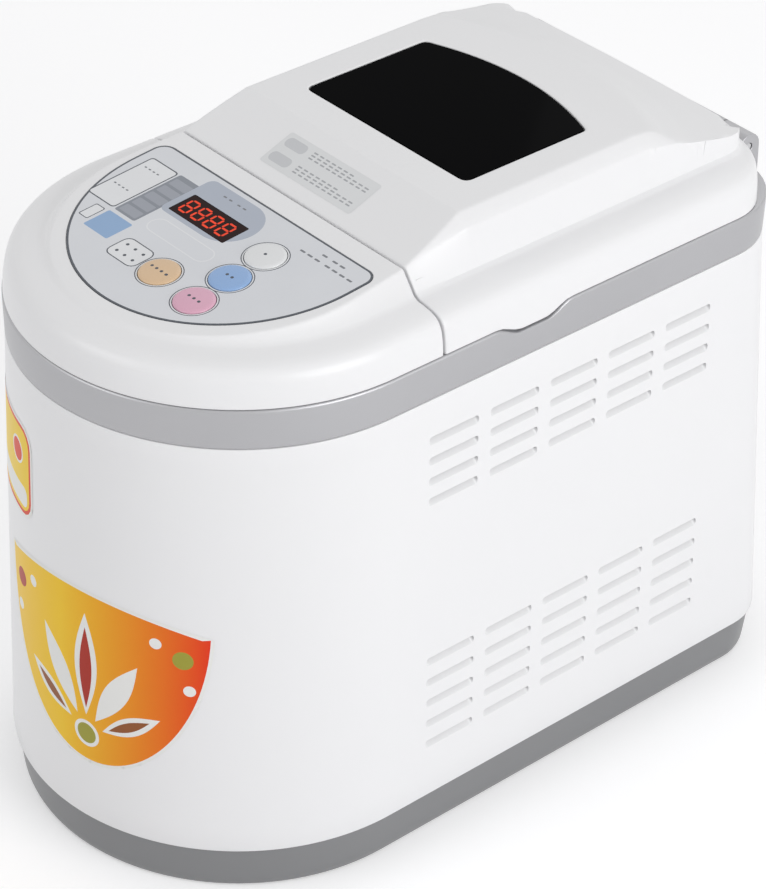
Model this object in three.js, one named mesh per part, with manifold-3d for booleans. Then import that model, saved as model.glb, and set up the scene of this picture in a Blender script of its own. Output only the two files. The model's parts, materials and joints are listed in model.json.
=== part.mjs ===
// Bread machine: a D-shaped cabinet with a panel over the round nose, a lid hinged at the back,
// a baking chamber with its pan, and the belt drive under it. Millimetres, +Z up, front at -Y.
import * as THREE from "three";
import { mergeVertices } from "three/addons/utils/BufferGeometryUtils.js";
import Module from "manifold-3d";

const wasm = await Module();
wasm.setup();

// ---------------------------------------------------------------- driving dimensions
// Heights are measured from the underside of the base, y from the centre of the round nose.
const HALF_WIDTH = 108; // of the body at the silver band
const NOSE = 108; // length of the round front
const REAR = 260.5; // flat back at the band
const CORNER = 41; // rear corners in plan at the band
const FOOT_CORNER = 34; // and at the foot of the case
const DRAFT = 5.6; // the case is this much wider at its foot, on each side
const REAR_LEAN = 4.3; // and this much longer again at the back
const FOOT_DROP = 3; // rubber feet below the base
const BASE_TOP = 23;
const CASE_TOP = 251;
const BAND_TOP = CASE_TOP + 20.7; // top of the silver band
const SEAM = 30.5; // joint between the panel housing and the lid
const SEAM_GAP = 1.3;
const LID_REAR = REAR - 13;
const LID_CORNER = 30;
const WALL = 2.5; // plastic mouldings
const GAP = 0.3; // between pieces that touch
const RUN = 0.5; // between pieces that turn or slide

const PANEL_SLOPE = 0.09; // fall of the panel towards the nose
const PANEL_RISE = 29.5; // panel height over the band at the centre of the nose
const LID_TOP = 45.5; // flat top of the window frame over the band

const AXLE_Y = REAR - 5.5; // lid hinge
const AXLE_Z = BAND_TOP + 12;
const BARREL_RADIUS = 7;
const PIN_RADIUS = 2;

const CHAMBER = { x: 79, front: 47, rear: 239, corner: 33, floor: 82, sheet: 1.2 };
const PAN_Y = (CHAMBER.front + CHAMBER.rear) / 2; // pan, paddle and drive axis
const PAN_FLOOR = CHAMBER.floor + 25;
const PAN = {
  x: CHAMBER.x - 13, y: (CHAMBER.rear - CHAMBER.front) / 2 - 14, corner: CHAMBER.corner - 3,
  floor: PAN_FLOOR, rim: PAN_FLOOR + 125, sheet: 1.6,
};
const BAIL_REACH = PAN.y - 32;
const BAIL_WIRE = 2;
const DECK = 58; // underside of the chassis plate
const DECK_SHEET = 1.5;
const DECK_HALF = 66;
const MOTOR_Y = -22;
const PULLEY_RADIUS = 50;
const PINION_RADIUS = 9;
const BELT = { low: 38, high: 45, thick: 2.5 };
const SHAFT_RADIUS = 4;
const SHAFT_SEAT = SHAFT_RADIUS + GAP; // bore of whatever sits on a shaft
const PAN_BORE = SHAFT_RADIUS + 3; // hole in the pan's floor, round the shaft seal

const ARC = 10; // facets in each quarter of the big outlines

// ---------------------------------------------------------------- geometry helpers
// A closed mesh as a solid: only positions count, shared corners are merged, faces point out.
function solid(geometry) {
  const bare = new THREE.BufferGeometry();
  bare.setAttribute("position", geometry.attributes.position.clone());
  if (geometry.index) bare.setIndex(geometry.index.clone());
  const merged = mergeVertices(bare, 1e-4);
  const position = merged.attributes.position;
  const corners = [0, 1, 2].map(() => new THREE.Vector3());
  const triangles = [];
  let volume = 0;
  for (let i = 0; i < merged.index.count; i += 3) {
    const [a, b, c] = [0, 1, 2].map((k) => merged.index.getX(i + k));
    if (a === b || b === c || c === a) continue;
    triangles.push([a, b, c]);
    [a, b, c].forEach((index, k) => corners[k].fromBufferAttribute(position, index));
    volume += corners[0].dot(corners[1].clone().cross(corners[2]));
  }
  if (volume < 0) triangles.forEach((triangle) => triangle.reverse());
  return new wasm.Manifold(new wasm.Mesh({
    numProp: 3,
    vertProperties: new Float32Array(position.array),
    triVerts: new Uint32Array(triangles.flat()),
  }));
}

function geometryOf(manifold) {
  const mesh = manifold.getMesh();
  const geometry = new THREE.BufferGeometry();
  geometry.setAttribute("position", new THREE.BufferAttribute(mesh.vertProperties, 3));
  geometry.setIndex(new THREE.BufferAttribute(mesh.triVerts, 1));
  geometry.computeVertexNormals();
  return geometry;
}

const join = (first, ...rest) => rest.reduce((sum, next) => sum.add(next), first);
const cut = (first, ...rest) => rest.reduce((sum, next) => sum.subtract(next), first);

function box([x0, x1], [y0, y1], [z0, z1]) {
  const geometry = new THREE.BoxGeometry(x1 - x0, y1 - y0, z1 - z0);
  return solid(geometry.translate((x0 + x1) / 2, (y0 + y1) / 2, (z0 + z1) / 2));
}

function extrude(points, depth) {
  const shape = points instanceof THREE.Shape ? points : new THREE.Shape(points);
  return new THREE.ExtrudeGeometry(shape, { depth, bevelEnabled: false, curveSegments: 5 });
}

// Plan outline between two heights.
const prism = (points, [z0, z1]) => solid(extrude(points, z1 - z0).translate(0, 0, z0));

// Outline in the y-z plane swept along x.
function prismX(points, [x0, x1]) {
  const turn = new THREE.Matrix4().makeBasis(
    new THREE.Vector3(0, 1, 0), new THREE.Vector3(0, 0, 1), new THREE.Vector3(1, 0, 0));
  return solid(extrude(points, x1 - x0).applyMatrix4(turn).translate(x0, 0, 0));
}

// Outline in the x-z plane swept along y.
const prismY = (points, [y0, y1]) => solid(
  extrude(points, y1 - y0).rotateX(Math.PI / 2).translate(0, y1, 0));

// Profile of [radius, height] pairs turned about a vertical axis at (x, y).
function turned(profile, [x, y] = [0, 0], segments = 16) {
  const points = profile.map(([radius, height]) => new THREE.Vector2(radius, height));
  if (profile[0][0] > 0) points.push(points[0].clone());
  return solid(new THREE.LatheGeometry(points, segments).rotateX(Math.PI / 2).translate(x, y, 0));
}

const rod = (radius, [z0, z1], at, segments) => turned(
  [[0, z0], [radius, z0], [radius, z1], [0, z1]], at, segments);

// The same turned shapes about an axis along x or along y.
const alongX = (manifold) => manifold.rotate([0, 90, 0]);
const alongY = (manifold) => manifold.rotate([-90, 0, 0]);

function arc(cx, cy, rx, ry, from, to, steps) {
  return new THREE.EllipseCurve(cx, cy, rx, ry, from, to).getPoints(steps);
}

// D outline: round nose at -y, straight sides, flat back with round corners.
function dOutline(halfWidth, nose, rear, corner, steps = ARC) {
  return [
    ...arc(halfWidth - corner, rear - corner, corner, corner, 0, Math.PI / 2, Math.ceil(steps / 2)),
    ...arc(corner - halfWidth, rear - corner, corner, corner, Math.PI / 2, Math.PI, Math.ceil(steps / 2)),
    ...arc(0, 0, halfWidth, nose, Math.PI, 2 * Math.PI, 2 * steps),
  ];
}

const bodyOutline = (grow, rearGrow = grow) => dOutline(
  HALF_WIDTH + grow, NOSE + grow, REAR + rearGrow, CORNER + grow);

// The same at the foot: `grow` is from the foot of the case, which is wider and has tighter corners.
const footOutline = (grow) => dOutline(
  HALF_WIDTH + DRAFT + grow, NOSE + DRAFT + grow, REAR + DRAFT + REAR_LEAN + grow, FOOT_CORNER + grow);

function roundRect([x0, x1], [y0, y1], radius, steps = 5) {
  const quarter = Math.PI / 2;
  return [
    ...arc(x1 - radius, y1 - radius, radius, radius, 0, quarter, steps),
    ...arc(x0 + radius, y1 - radius, radius, radius, quarter, 2 * quarter, steps),
    ...arc(x0 + radius, y0 + radius, radius, radius, 2 * quarter, 3 * quarter, steps),
    ...arc(x1 - radius, y0 + radius, radius, radius, 3 * quarter, 4 * quarter, steps),
  ];
}

// Solid through a stack of outlines that have the same number of points.
function loft(rings) {
  const count = rings[0].points.length;
  const positions = rings.flatMap(({ points, z }) => points.flatMap((point) => [point.x, point.y, z]));
  const index = [];
  for (let ring = 0; ring + 1 < rings.length; ring += 1) {
    for (let i = 0; i < count; i += 1) {
      const a = ring * count + i;
      const b = ring * count + (i + 1) % count;
      index.push(a, b, a + count, b, b + count, a + count);
    }
  }
  for (const [ring, flip] of [[0, true], [rings.length - 1, false]]) {
    for (const face of THREE.ShapeUtils.triangulateShape(rings[ring].points, [])) {
      const ordered = flip ? [...face].reverse() : face;
      index.push(...ordered.map((corner) => ring * count + corner));
    }
  }
  const geometry = new THREE.BufferGeometry();
  geometry.setAttribute("position", new THREE.Float32BufferAttribute(positions, 3));
  geometry.setIndex(index);
  return solid(geometry);
}

// Route through given points, with one stop at each, for bent wires and tubes.
class Route extends THREE.Curve {
  constructor(points) {
    super();
    this.points = points;
  }

  getPoint(t) {
    return this.points[Math.round(t * (this.points.length - 1))].clone();
  }

  getPointAt(t) {
    return this.getPoint(t);
  }

  getTangentAt(t) {
    const at = Math.round(t * (this.points.length - 1));
    const before = this.points[Math.max(at - 1, 0)];
    const after = this.points[Math.min(at + 1, this.points.length - 1)];
    return after.clone().sub(before).normalize();
  }
}

// Bent round bar in the plane at height z: corners are [x, y, bend radius], the ends have none.
function bar(corners, z, radius, sides = 8) {
  const points = corners.flatMap(([x, y, bend], index) => {
    if (!bend) return [new THREE.Vector3(x, y, z)];
    const here = new THREE.Vector3(x, y, z);
    const [back, ahead] = [corners[index - 1], corners[index + 1]]
      .map(([nextX, nextY]) => new THREE.Vector3(nextX, nextY, z).sub(here).setLength(bend).add(here));
    return new THREE.QuadraticBezierCurve3(back, here, ahead).getPoints(3);
  });
  const section = new THREE.Shape(arc(0, 0, radius, radius, 0, 2 * Math.PI, sides).slice(0, -1));
  return solid(new THREE.ExtrudeGeometry(section, {
    steps: points.length - 1, extrudePath: new Route(points), bevelEnabled: false,
  }));
}

// ---------------------------------------------------------------- the scene graph
const machine = new THREE.Group();
machine.name = "bread_machine";
const GLAND_FACE = 1.8; // the cord gland stands this much proud of the leaning back
const GLAND = { x: -70, z: 42, hole: 7.3, flange: 11 };
const REAR_TILT = Math.atan((DRAFT + REAR_LEAN) / (CASE_TOP - BASE_TOP)); // lean of the back
const rearAt = (z) => REAR + (DRAFT + REAR_LEAN) * (CASE_TOP - z) / (CASE_TOP - BASE_TOP);
const FRONT_END = -(NOSE + DRAFT);
const REAR_END = rearAt(GLAND.z) + GLAND_FACE * Math.cos(REAR_TILT) + GLAND.flange * Math.sin(REAR_TILT);
machine.position.set(0, -(FRONT_END + REAR_END) / 2, FOOT_DROP);

function add(name, manifold, [color, roughness, metalness = 0], parent = machine) {
  const material = new THREE.MeshStandardMaterial({ color, roughness, metalness });
  const mesh = new THREE.Mesh(geometryOf(manifold), material);
  mesh.name = name;
  parent.add(mesh);
  return mesh;
}

const WHITE = [0xf1f0ee, 0.3];
const SILVER = [0x9b9ca0, 0.38, 0.15];
const DARK_GREY = [0x6f7073, 0.5];
const RUBBER = [0x1c1c1d, 0.8];
const STEEL = [0xb4b6b8, 0.35, 1];
const ZINC = [0xa6a9ab, 0.5, 1];
const NON_STICK = [0x3a3a3d, 0.5, 0.3];
const BOARD = [0x2f6b3d, 0.6];
const BLACK = [0x121214, 0.35];

// ---------------------------------------------------------------- base and case
const FEET = [[-76, -50], [76, -50], [-80, REAR - 38.5], [80, REAR - 38.5]];
const FOOT_RADIUS = 9;
const POCKET = 1.5;
const FLOOR = 3;
const BASE_INSET = 1.5; // the base ring stands back under the foot of the case
const RIM = 2.5; // the ring's edge hangs below the floor of the tray, round the feet

function baseTray() {
  const ring = loft([
    { points: footOutline(-BASE_INSET - 5.3), z: -RIM },
    { points: footOutline(-BASE_INSET - 2.3), z: 4 - RIM },
    { points: footOutline(-BASE_INSET), z: BASE_TOP },
  ]);
  const inside = loft([
    { points: footOutline(-BASE_INSET - 2.3 - WALL), z: FLOOR },
    { points: footOutline(-WALL - 2), z: BASE_TOP + 9 },
  ]);
  const lip = prism(footOutline(-WALL - 2 * GAP), [BASE_TOP - 2, BASE_TOP + 8]);
  const under = prism(footOutline(-BASE_INSET - 8), [-RIM - 1, 0]);
  let tray = cut(join(ring, lip), inside, under);
  for (const at of BOARD_POSTS) tray = tray.add(rod(3.5, [FLOOR - 1, BOARD_Z - GAP], at, 12));
  for (const at of FEET) tray = tray.subtract(rod(FOOT_RADIUS + 2 * GAP, [-1, POCKET], at, 14));
  for (let row = 0; row < 6; row += 1) {
    const y = 100 + row * 14;
    tray = tray.subtract(box([-24, 24], [y, y + 4], [-1, FLOOR + 1]));
  }
  return tray;
}

// From an upright axis to one square to the leaning back, at the cord gland.
const onBack = (manifold) => alongY(manifold).rotate([THREE.MathUtils.radToDeg(REAR_TILT), 0, 0])
  .translate([GLAND.x, rearAt(GLAND.z), GLAND.z]);

const LOUVRE = { length: 30, pitch: 37.4, firstY: 37.4, columns: 5, mouth: 4.2 };
const LOUVRE_ROWS = [
  { top: CASE_TOP - 20, rows: 4, pitch: 11.1 },
  { top: BASE_TOP + 83, rows: 5, pitch: 12.3 },
];

// One slanted slot in the right-hand wall: it rises as it goes in, so no light shows through.
function louvre(y, top) {
  const face = HALF_WIDTH + DRAFT * (CASE_TOP - top) / (CASE_TOP - BASE_TOP);
  const out = 3;
  const inward = WALL + 2;
  const profile = [
    [face + out, top - LOUVRE.mouth - out], [face + out, top - out],
    [face - inward, top + inward], [face - inward, top - LOUVRE.mouth + inward],
  ].map(([x, z]) => new THREE.Vector2(x, z));
  return prismY(profile, [y - LOUVRE.length / 2, y + LOUVRE.length / 2]);
}

function caseShell() {
  const lower = BASE_TOP + GAP;
  const outer = loft([
    { points: footOutline(0), z: lower },
    { points: bodyOutline(0), z: CASE_TOP },
  ]);
  const slope = DRAFT / (CASE_TOP - lower); // the inner wall starts 1 lower and ends 1 higher
  const inner = loft([
    { points: footOutline(slope - WALL), z: lower - 1 },
    { points: bodyOutline(-slope - WALL), z: CASE_TOP + 1 },
  ]);
  let slots = null;
  for (const group of LOUVRE_ROWS) {
    for (let row = 0; row < group.rows; row += 1) {
      for (let column = 0; column < LOUVRE.columns; column += 1) {
        const slot = louvre(LOUVRE.firstY + column * LOUVRE.pitch, group.top - row * group.pitch);
        slots = slots ? slots.add(slot) : slot;
      }
    }
  }
  const glandHole = onBack(rod(GLAND.hole, [-20, 20], [0, 0], 16));
  return cut(outer, inner, slots, slots.mirror([1, 0, 0]), glandHole);
}

const BOARD_Z = 22;
const BOARD_X = 42;
const BOARD_Y = [-92, -58];
const BOARD_POSTS = [[-36, -86], [36, -86], [-36, -64], [36, -64]];

add("base_tray", baseTray(), DARK_GREY);
FEET.forEach((at, index) => {
  const place = ["front_left", "front_right", "rear_left", "rear_right"][index];
  add(`foot_${place}`, turned([
    [0, -FOOT_DROP], [FOOT_RADIUS - 2, -FOOT_DROP], [FOOT_RADIUS - 1, 0],
    [FOOT_RADIUS, 0], [FOOT_RADIUS, POCKET - GAP], [0, POCKET - GAP],
  ], at, 14), RUBBER);
});
add("case_shell", caseShell(), WHITE);

function cordGland() {
  const neck = GLAND.hole - GAP;
  const gland = turned([
    [3.6, -9], [neck - 1, -9], [neck, -6], [neck, GAP], [GLAND.flange, GAP], [GLAND.flange, GLAND_FACE],
    [3.6, GLAND_FACE],
  ], [0, 0], 14);
  return onBack(gland);
}

// ---------------------------------------------------------------- silver top frame
const FRAME_SHEET = 3;
const LEDGE = 3; // the frame's mouth stands this far in from the chamber's walls
const MOUTH = {
  x: CHAMBER.x - LEDGE, corner: CHAMBER.corner - LEDGE,
  front: CHAMBER.front + LEDGE, rear: CHAMBER.rear - LEDGE,
};
const TAB = { front: 62, rear: 108, depth: 5, gap: 0.8 };
const HINGE_HALF = 77; // half width of the hinge housing
const HINGE_SEAT = BAND_TOP - 4;
const HINGE_Y = [LID_REAR + 1, REAR + 2];

// Finger tab on the lid's skirt, a shallow bow below the skirt's edge.
function tabOutline(grow) {
  const low = BAND_TOP - TAB.depth - grow;
  const start = TAB.front - grow;
  const end = TAB.rear + grow;
  const shape = new THREE.Shape();
  shape.moveTo(start, BAND_TOP + 3);
  shape.lineTo(start, BAND_TOP + GAP);
  shape.bezierCurveTo(start + 8, BAND_TOP + GAP, start + 8, low, start + 16, low);
  shape.lineTo(end - 16, low);
  shape.bezierCurveTo(end - 8, low, end - 8, BAND_TOP + GAP, end, BAND_TOP + GAP);
  shape.lineTo(end, BAND_TOP + 3);
  return shape;
}

function topFrame() {
  const low = CASE_TOP + GAP;
  const band = cut(
    loft([{ points: bodyOutline(0), z: low }, { points: bodyOutline(0.5), z: BAND_TOP }]),
    prism(bodyOutline(-WALL), [low - 1, BAND_TOP - FRAME_SHEET]));
  const tongue = prism(bodyOutline(-WALL - 2 * GAP), [CASE_TOP - 6, low + 1]);
  const shelf = prism(bodyOutline(-1), [low, low + 4]);
  const lip = cut(join(tongue, shelf), prism(bodyOutline(-WALL - 2 * GAP - 2), [CASE_TOP - 7, low + 5]));
  const rim = prism(
    roundRect([-MOUTH.x - 2, MOUTH.x + 2], [MOUTH.front - 2, MOUTH.rear + 2], MOUTH.corner + 2),
    [BAND_TOP - 1, BAND_TOP + 2]);
  const mouth = prism(
    roundRect([-MOUTH.x, MOUTH.x], [MOUTH.front, MOUTH.rear], MOUTH.corner), [BAND_TOP - 8, BAND_TOP + 8]);
  const well = prism(dOutline(92, 92, 24, 10, 8), [BAND_TOP - 8, BAND_TOP + 8]);
  const side = HALF_WIDTH - WALL - GAP;
  const notch = prismX(tabOutline(TAB.gap), [side, HALF_WIDTH + 5]);
  const seat = box(
    [-HINGE_HALF - GAP, HINGE_HALF + GAP], [HINGE_Y[0] - GAP, REAR + 5], [HINGE_SEAT - GAP, BAND_TOP + 5]);
  return cut(join(band, lip, rim), mouth, well, notch, notch.mirror([1, 0, 0]), seat);
}

add("top_frame", topFrame(), SILVER);
add("cord_gland", cordGland(), BLACK);

// ---------------------------------------------------------------- upper skin: panel housing and lid
// Skirt section all round: inset from the body outline against height over the band.
const SKIRT = [
  [0, GAP], [0.6, 8], [1.9, 14], [4.5, 17.6], [8.5, 19.3], [13, 20], [18.5, 20.6], [21, 22], [43, 51.7],
];
// Fall line of the top from front to back: y against height over the band.
const panelHeight = (y) => PANEL_RISE + PANEL_SLOPE * y;
const ROOF = [
  [-NOSE - 20, panelHeight(-NOSE - 20)], [SEAM, panelHeight(SEAM)], [66, LID_TOP], [177, LID_TOP],
  [186, 44.7], [212, 41.4],
];
// From the top down the lid's leaning back.
const LID_BACK = [[LID_REAR - 11.5, 39.5], [LID_REAR - 6.2, 31], [LID_REAR, 20.6], [LID_REAR + 1, 19]];
// Crown over the skirt: y, half width and height of its shoulder, half width and height of its ridge.
const CROWN_FOOT = [21, 22]; // inset and height of the skirt where the crown rises from it
const CROWN = [
  [SEAM, 79.4, 32.2, 75, 38], [66, 81, 40, 75, LID_TOP], [177, 81, 40, 75, LID_TOP],
  [200, 85, 38, 76, 43.5], [225, 86.5, 34, 77, 42], [LID_REAR + 4, 86.5, 32, 77, 41],
];
// Hollow behind the window: radius about an upright axis at SCOOP_Y against height over the band.
const SCOOP_Y = 40;
const SCOOP = [[164, 45.8], [174, 40.2], [186, 36], [201, 32.5], [216, 30.2], [236, 28.4]];

function skirtOutline(inset, rear) {
  const corner = Math.max(LID_CORNER - 0.62 * inset, 10);
  return dOutline(HALF_WIDTH - inset, NOSE - inset, rear, corner);
}

function crown(wall) {
  const [inset, foot] = CROWN_FOOT;
  const sections = CROWN.map(([y, shoulder, shoulderHeight, ridge, ridgeHeight]) => {
    const side = [
      [HALF_WIDTH - inset, foot - 3], [HALF_WIDTH - inset, foot], [shoulder, shoulderHeight],
      [ridge, ridgeHeight],
    ].map(([x, height]) => [x - wall, BAND_TOP + height - wall]);
    const other = side.map(([x, z]) => [-x, z]).reverse();
    return { points: [...side, ...other].map(([x, z]) => new THREE.Vector2(x, z)), z: -y };
  });
  const plan = skirtOutline(inset - 0.1 + wall, LID_REAR - wall);
  return loft(sections.reverse()).rotate([90, 0, 0]).intersect(prism(plan, [BAND_TOP, BAND_TOP + 80]));
}

// Everything under the upper skin, taken in by a wall thickness when it is the hollow inside.
function upperSolid(wall) {
  const section = wall > 0 ? SKIRT.filter((point, index) => index % 2 === 0) : SKIRT;
  const rings = section.map(([inset, height], index) => ({
    points: skirtOutline(inset + wall, LID_REAR - wall),
    z: BAND_TOP + (index === 0 && wall > 0 ? -6 : height - wall),
  }));
  const roof = [
    ...ROOF.map(([y, height]) => [y, height - wall]),
    ...LID_BACK.map(([y, height]) => [y - wall, height - wall / 2]),
    [LID_REAR + 1, -20], [-NOSE - 20, -20],
  ].map(([y, height]) => new THREE.Vector2(y, BAND_TOP + height));
  const bowl = SCOOP.map(([radius, height]) => [radius, BAND_TOP + height - wall]);
  const scoop = turned([...bowl, [236, BAND_TOP + 90], [164, BAND_TOP + 90]], [0, SCOOP_Y], 48);
  return join(loft(rings), crown(wall)).intersect(prismX(roof, [-200, 200])).subtract(scoop);
}

const outerSkin = upperSolid(0);
const innerSkin = upperSolid(WALL);
const behind = (y) => box([-300, 300], [y, 400], [-100, 500]);
const infront = (y) => box([-300, 300], [-300, y], [-100, 500]);

// Window outline with corners, bowed at the back.
function windowOutline(grow) {
  const half = 56.5 + grow;
  const front = 87 - grow;
  const rear = 163 + grow;
  const radius = 6 + Math.max(grow, -4);
  const shape = new THREE.Shape();
  shape.moveTo(half, front + radius);
  shape.lineTo(half, rear - 3);
  shape.quadraticCurveTo(half, rear, half - 4, rear + 1);
  shape.quadraticCurveTo(0, rear + 21, 4 - half, rear + 1);
  shape.quadraticCurveTo(-half, rear, -half, rear - 3);
  shape.lineTo(-half, front + radius);
  shape.quadraticCurveTo(-half, front, radius - half, front);
  shape.lineTo(half - radius, front);
  shape.quadraticCurveTo(half, front, half, front + radius);
  return shape;
}

const LINER = {
  x: MOUTH.x + 7, front: MOUTH.front - 12, rear: MOUTH.rear + 4, corner: 20,
  z: BAND_TOP + 20.6, skirt: BAND_TOP + 4, sheet: 1.2,
};
const LINER_SCREWS = [LINER.front + 18, LINER.rear - 16].flatMap(
  (y) => [[19 - LINER.x, y], [LINER.x - 19, y]]);
const GLASS = 3;
const GLASS_TOP = BAND_TOP + LID_TOP - 0.2;

function lidShell() {
  const start = SEAM + SEAM_GAP / 2;
  const cavity = innerSkin.intersect(behind(start + WALL));
  const ledgeLow = GLASS_TOP - GLASS - GAP - WALL;
  const ledge = cut(prism(windowOutline(4), [ledgeLow, GLASS_TOP - 1]), prism(windowOutline(-5), [0, 400]));
  let shell = cut(outerSkin.intersect(behind(start)), cavity).add(ledge);
  for (const at of LINER_SCREWS) {
    const boss = rod(4.5, [LINER.z + LINER.sheet + GAP, BAND_TOP + LID_TOP], at, 16);
    shell = shell.add(boss.intersect(outerSkin));
  }
  const tab = prismX(tabOutline(0), [HALF_WIDTH - WALL, HALF_WIDTH + 0.6]);
  const opening = prism(windowOutline(GAP), [GLASS_TOP - GLASS - GAP, 400]);
  return join(shell, tab, tab.mirror([1, 0, 0])).subtract(opening);
}

function lidLiner() {
  const outline = (inset) => roundRect(
    [-LINER.x + inset, LINER.x - inset], [LINER.front + inset, LINER.rear - inset], LINER.corner - inset);
  const top = LINER.z + LINER.sheet;
  const hollow = prism(outline(LINER.sheet), [LINER.skirt - 1, LINER.z]);
  return cut(prism(outline(0), [LINER.skirt, top]), hollow, prism(windowOutline(-6), [0, 400]));
}

add("lid_shell", lidShell(), WHITE);
add("window_glass", prism(windowOutline(0), [GLASS_TOP - GLASS, GLASS_TOP]), [0x08080a, 0.08]);
add("lid_liner", lidLiner(), STEEL);
const PANE_Z = LINER.z + LINER.sheet + GAP;
add("inner_glass", prism(windowOutline(2), [PANE_Z, PANE_Z + GLASS]), [0xcfd6d4, 0.08]);
add("window_gasket", cut(
  prism(windowOutline(6), [PANE_Z, PANE_Z + 4]), prism(windowOutline(2 + GAP), [0, 400])), [0x8c3b2e, 0.7]);

// ---------------------------------------------------------------- rear hinge
function hingeHousing() {
  const [front, rear] = HINGE_Y;
  const shape = new THREE.Shape();
  shape.moveTo(front, HINGE_SEAT);
  shape.lineTo(rear, HINGE_SEAT);
  shape.lineTo(AXLE_Y + BARREL_RADIUS, AXLE_Z);
  shape.absarc(AXLE_Y, AXLE_Z, BARREL_RADIUS, 0, Math.PI, false);
  shape.lineTo(front, AXLE_Z - 2);
  const whole = prismX(shape, [-HINGE_HALF, HINGE_HALF]);
  const barrelHalf = HINGE_HALF - 18 + GAP;
  const trough = join(
    alongX(rod(BARREL_RADIUS + RUN, [-barrelHalf, barrelHalf], [0, 0], 32)).translate([0, AXLE_Y, AXLE_Z]),
    box([-barrelHalf, barrelHalf], [AXLE_Y - 20, AXLE_Y + 20], [AXLE_Z - 1, AXLE_Z + 20]));
  const bore = alongX(rod(PIN_RADIUS + GAP, [-200, 200], [0, 0], 12)).translate([0, AXLE_Y, AXLE_Z]);
  return cut(whole, trough, bore);
}

function hingeBarrel() {
  const half = HINGE_HALF - 18 - RUN;
  const barrel = alongX(rod(BARREL_RADIUS, [-half, half], [0, 0], 32)).translate([0, AXLE_Y, AXLE_Z]);
  const leaf = box([-half, half], [LID_REAR + GAP, LID_REAR + 2.8], [AXLE_Z, AXLE_Z + 8]);
  const bore = alongX(rod(PIN_RADIUS + GAP, [half - 8, half + 1], [0, 0], 12))
    .translate([0, AXLE_Y, AXLE_Z]);
  return cut(join(barrel, leaf), bore, bore.mirror([1, 0, 0]));
}

function hingePin() {
  const half = HINGE_HALF - 18;
  return alongX(rod(PIN_RADIUS, [half - 7, HINGE_HALF - 0.5], [0, 0], 12)).translate([0, AXLE_Y, AXLE_Z]);
}

add("hinge_housing", hingeHousing(), SILVER);
add("hinge_barrel", hingeBarrel(), SILVER);
add("hinge_pin_right", hingePin(), STEEL);
add("hinge_pin_left", hingePin().mirror([1, 0, 0]), STEEL);

// ---------------------------------------------------------------- control panel
// The panel's own frame: origin over the centre of the nose, z square to the sloping top.
const panel = new THREE.Group();
panel.position.set(0, 0, BAND_TOP + PANEL_RISE);
panel.rotation.x = Math.atan(PANEL_SLOPE);
machine.add(panel);
panel.updateMatrix();
const onPanel = (manifold) => manifold.rotate([THREE.MathUtils.radToDeg(panel.rotation.x), 0, 0])
  .translate(panel.position.toArray());

const OVERLAY = { half: 77, nose: 79, rear: 18, corner: 7, thick: 0.6, proud: 0.2 };
const DISPLAY = { x: [-32.2, 6.8], y: [-15, 0.4] };
const BUTTONS = {
  button_white: [29.2, -8], button_blue: [31, -30], button_pink: [33.2, -52], button_tan: [5, -49.5],
};
const BUTTON_RADIUS = 9.8;
const BUTTON = { hole: BUTTON_RADIUS + 0.35, flange: BUTTON_RADIUS + 1, travel: 0.8, stem: -9.8 };
const BOARD_TOP = -15;
const PANEL_SCREWS = [[-50, 2], [50, 2], [-50, -38], [54, -38]];
const spread = ([low, high], by) => [low - by, high + by];

const overlayOutline = (grow) => dOutline(
  OVERLAY.half + grow, OVERLAY.nose + grow, OVERLAY.rear + grow, OVERLAY.corner + grow, 10);

function controlHousing() {
  const end = SEAM - SEAM_GAP / 2;
  const cavity = innerSkin.intersect(infront(end - WALL));
  let housing = cut(outerSkin.intersect(infront(end)), cavity);
  for (const at of PANEL_SCREWS) housing = housing.add(onPanel(rod(3, [BOARD_TOP + GAP, -1], at, 12)));
  const recess = prism(overlayOutline(GAP), [OVERLAY.proud - OVERLAY.thick - GAP, 5]);
  const aperture = box(spread(DISPLAY.x, GAP), spread(DISPLAY.y, GAP), [-8, 5]);
  const holes = Object.values(BUTTONS).map((at) => rod(BUTTON.hole, [-8, 5], at, 18));
  return cut(housing, ...[recess, aperture, ...holes].map(onPanel));
}

function panelOverlay() {
  const sheet = prism(overlayOutline(0), [OVERLAY.proud - OVERLAY.thick, OVERLAY.proud]);
  const aperture = box(spread(DISPLAY.x, GAP), spread(DISPLAY.y, GAP), [-8, 5]);
  return cut(sheet, aperture, ...Object.values(BUTTONS).map((at) => rod(BUTTON.hole, [-8, 5], at, 18)));
}

function displayWindow() {
  const lens = box(DISPLAY.x, DISPLAY.y, [-4, 0.1]);
  return lens.add(box(spread(DISPLAY.x, 1.5), spread(DISPLAY.y, 1.5), [-4, -WALL - GAP]));
}

add("control_housing", controlHousing(), WHITE);
add("panel_overlay", panelOverlay(), [0xd9dce3, 0.35], panel);
add("display_window", displayWindow(), [0x0b0808, 0.1], panel);
add("display_module",
  box(spread(DISPLAY.x, -0.5), spread(DISPLAY.y, -0.5), [BOARD_TOP + GAP, -4 - GAP]), BLACK, panel);

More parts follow.
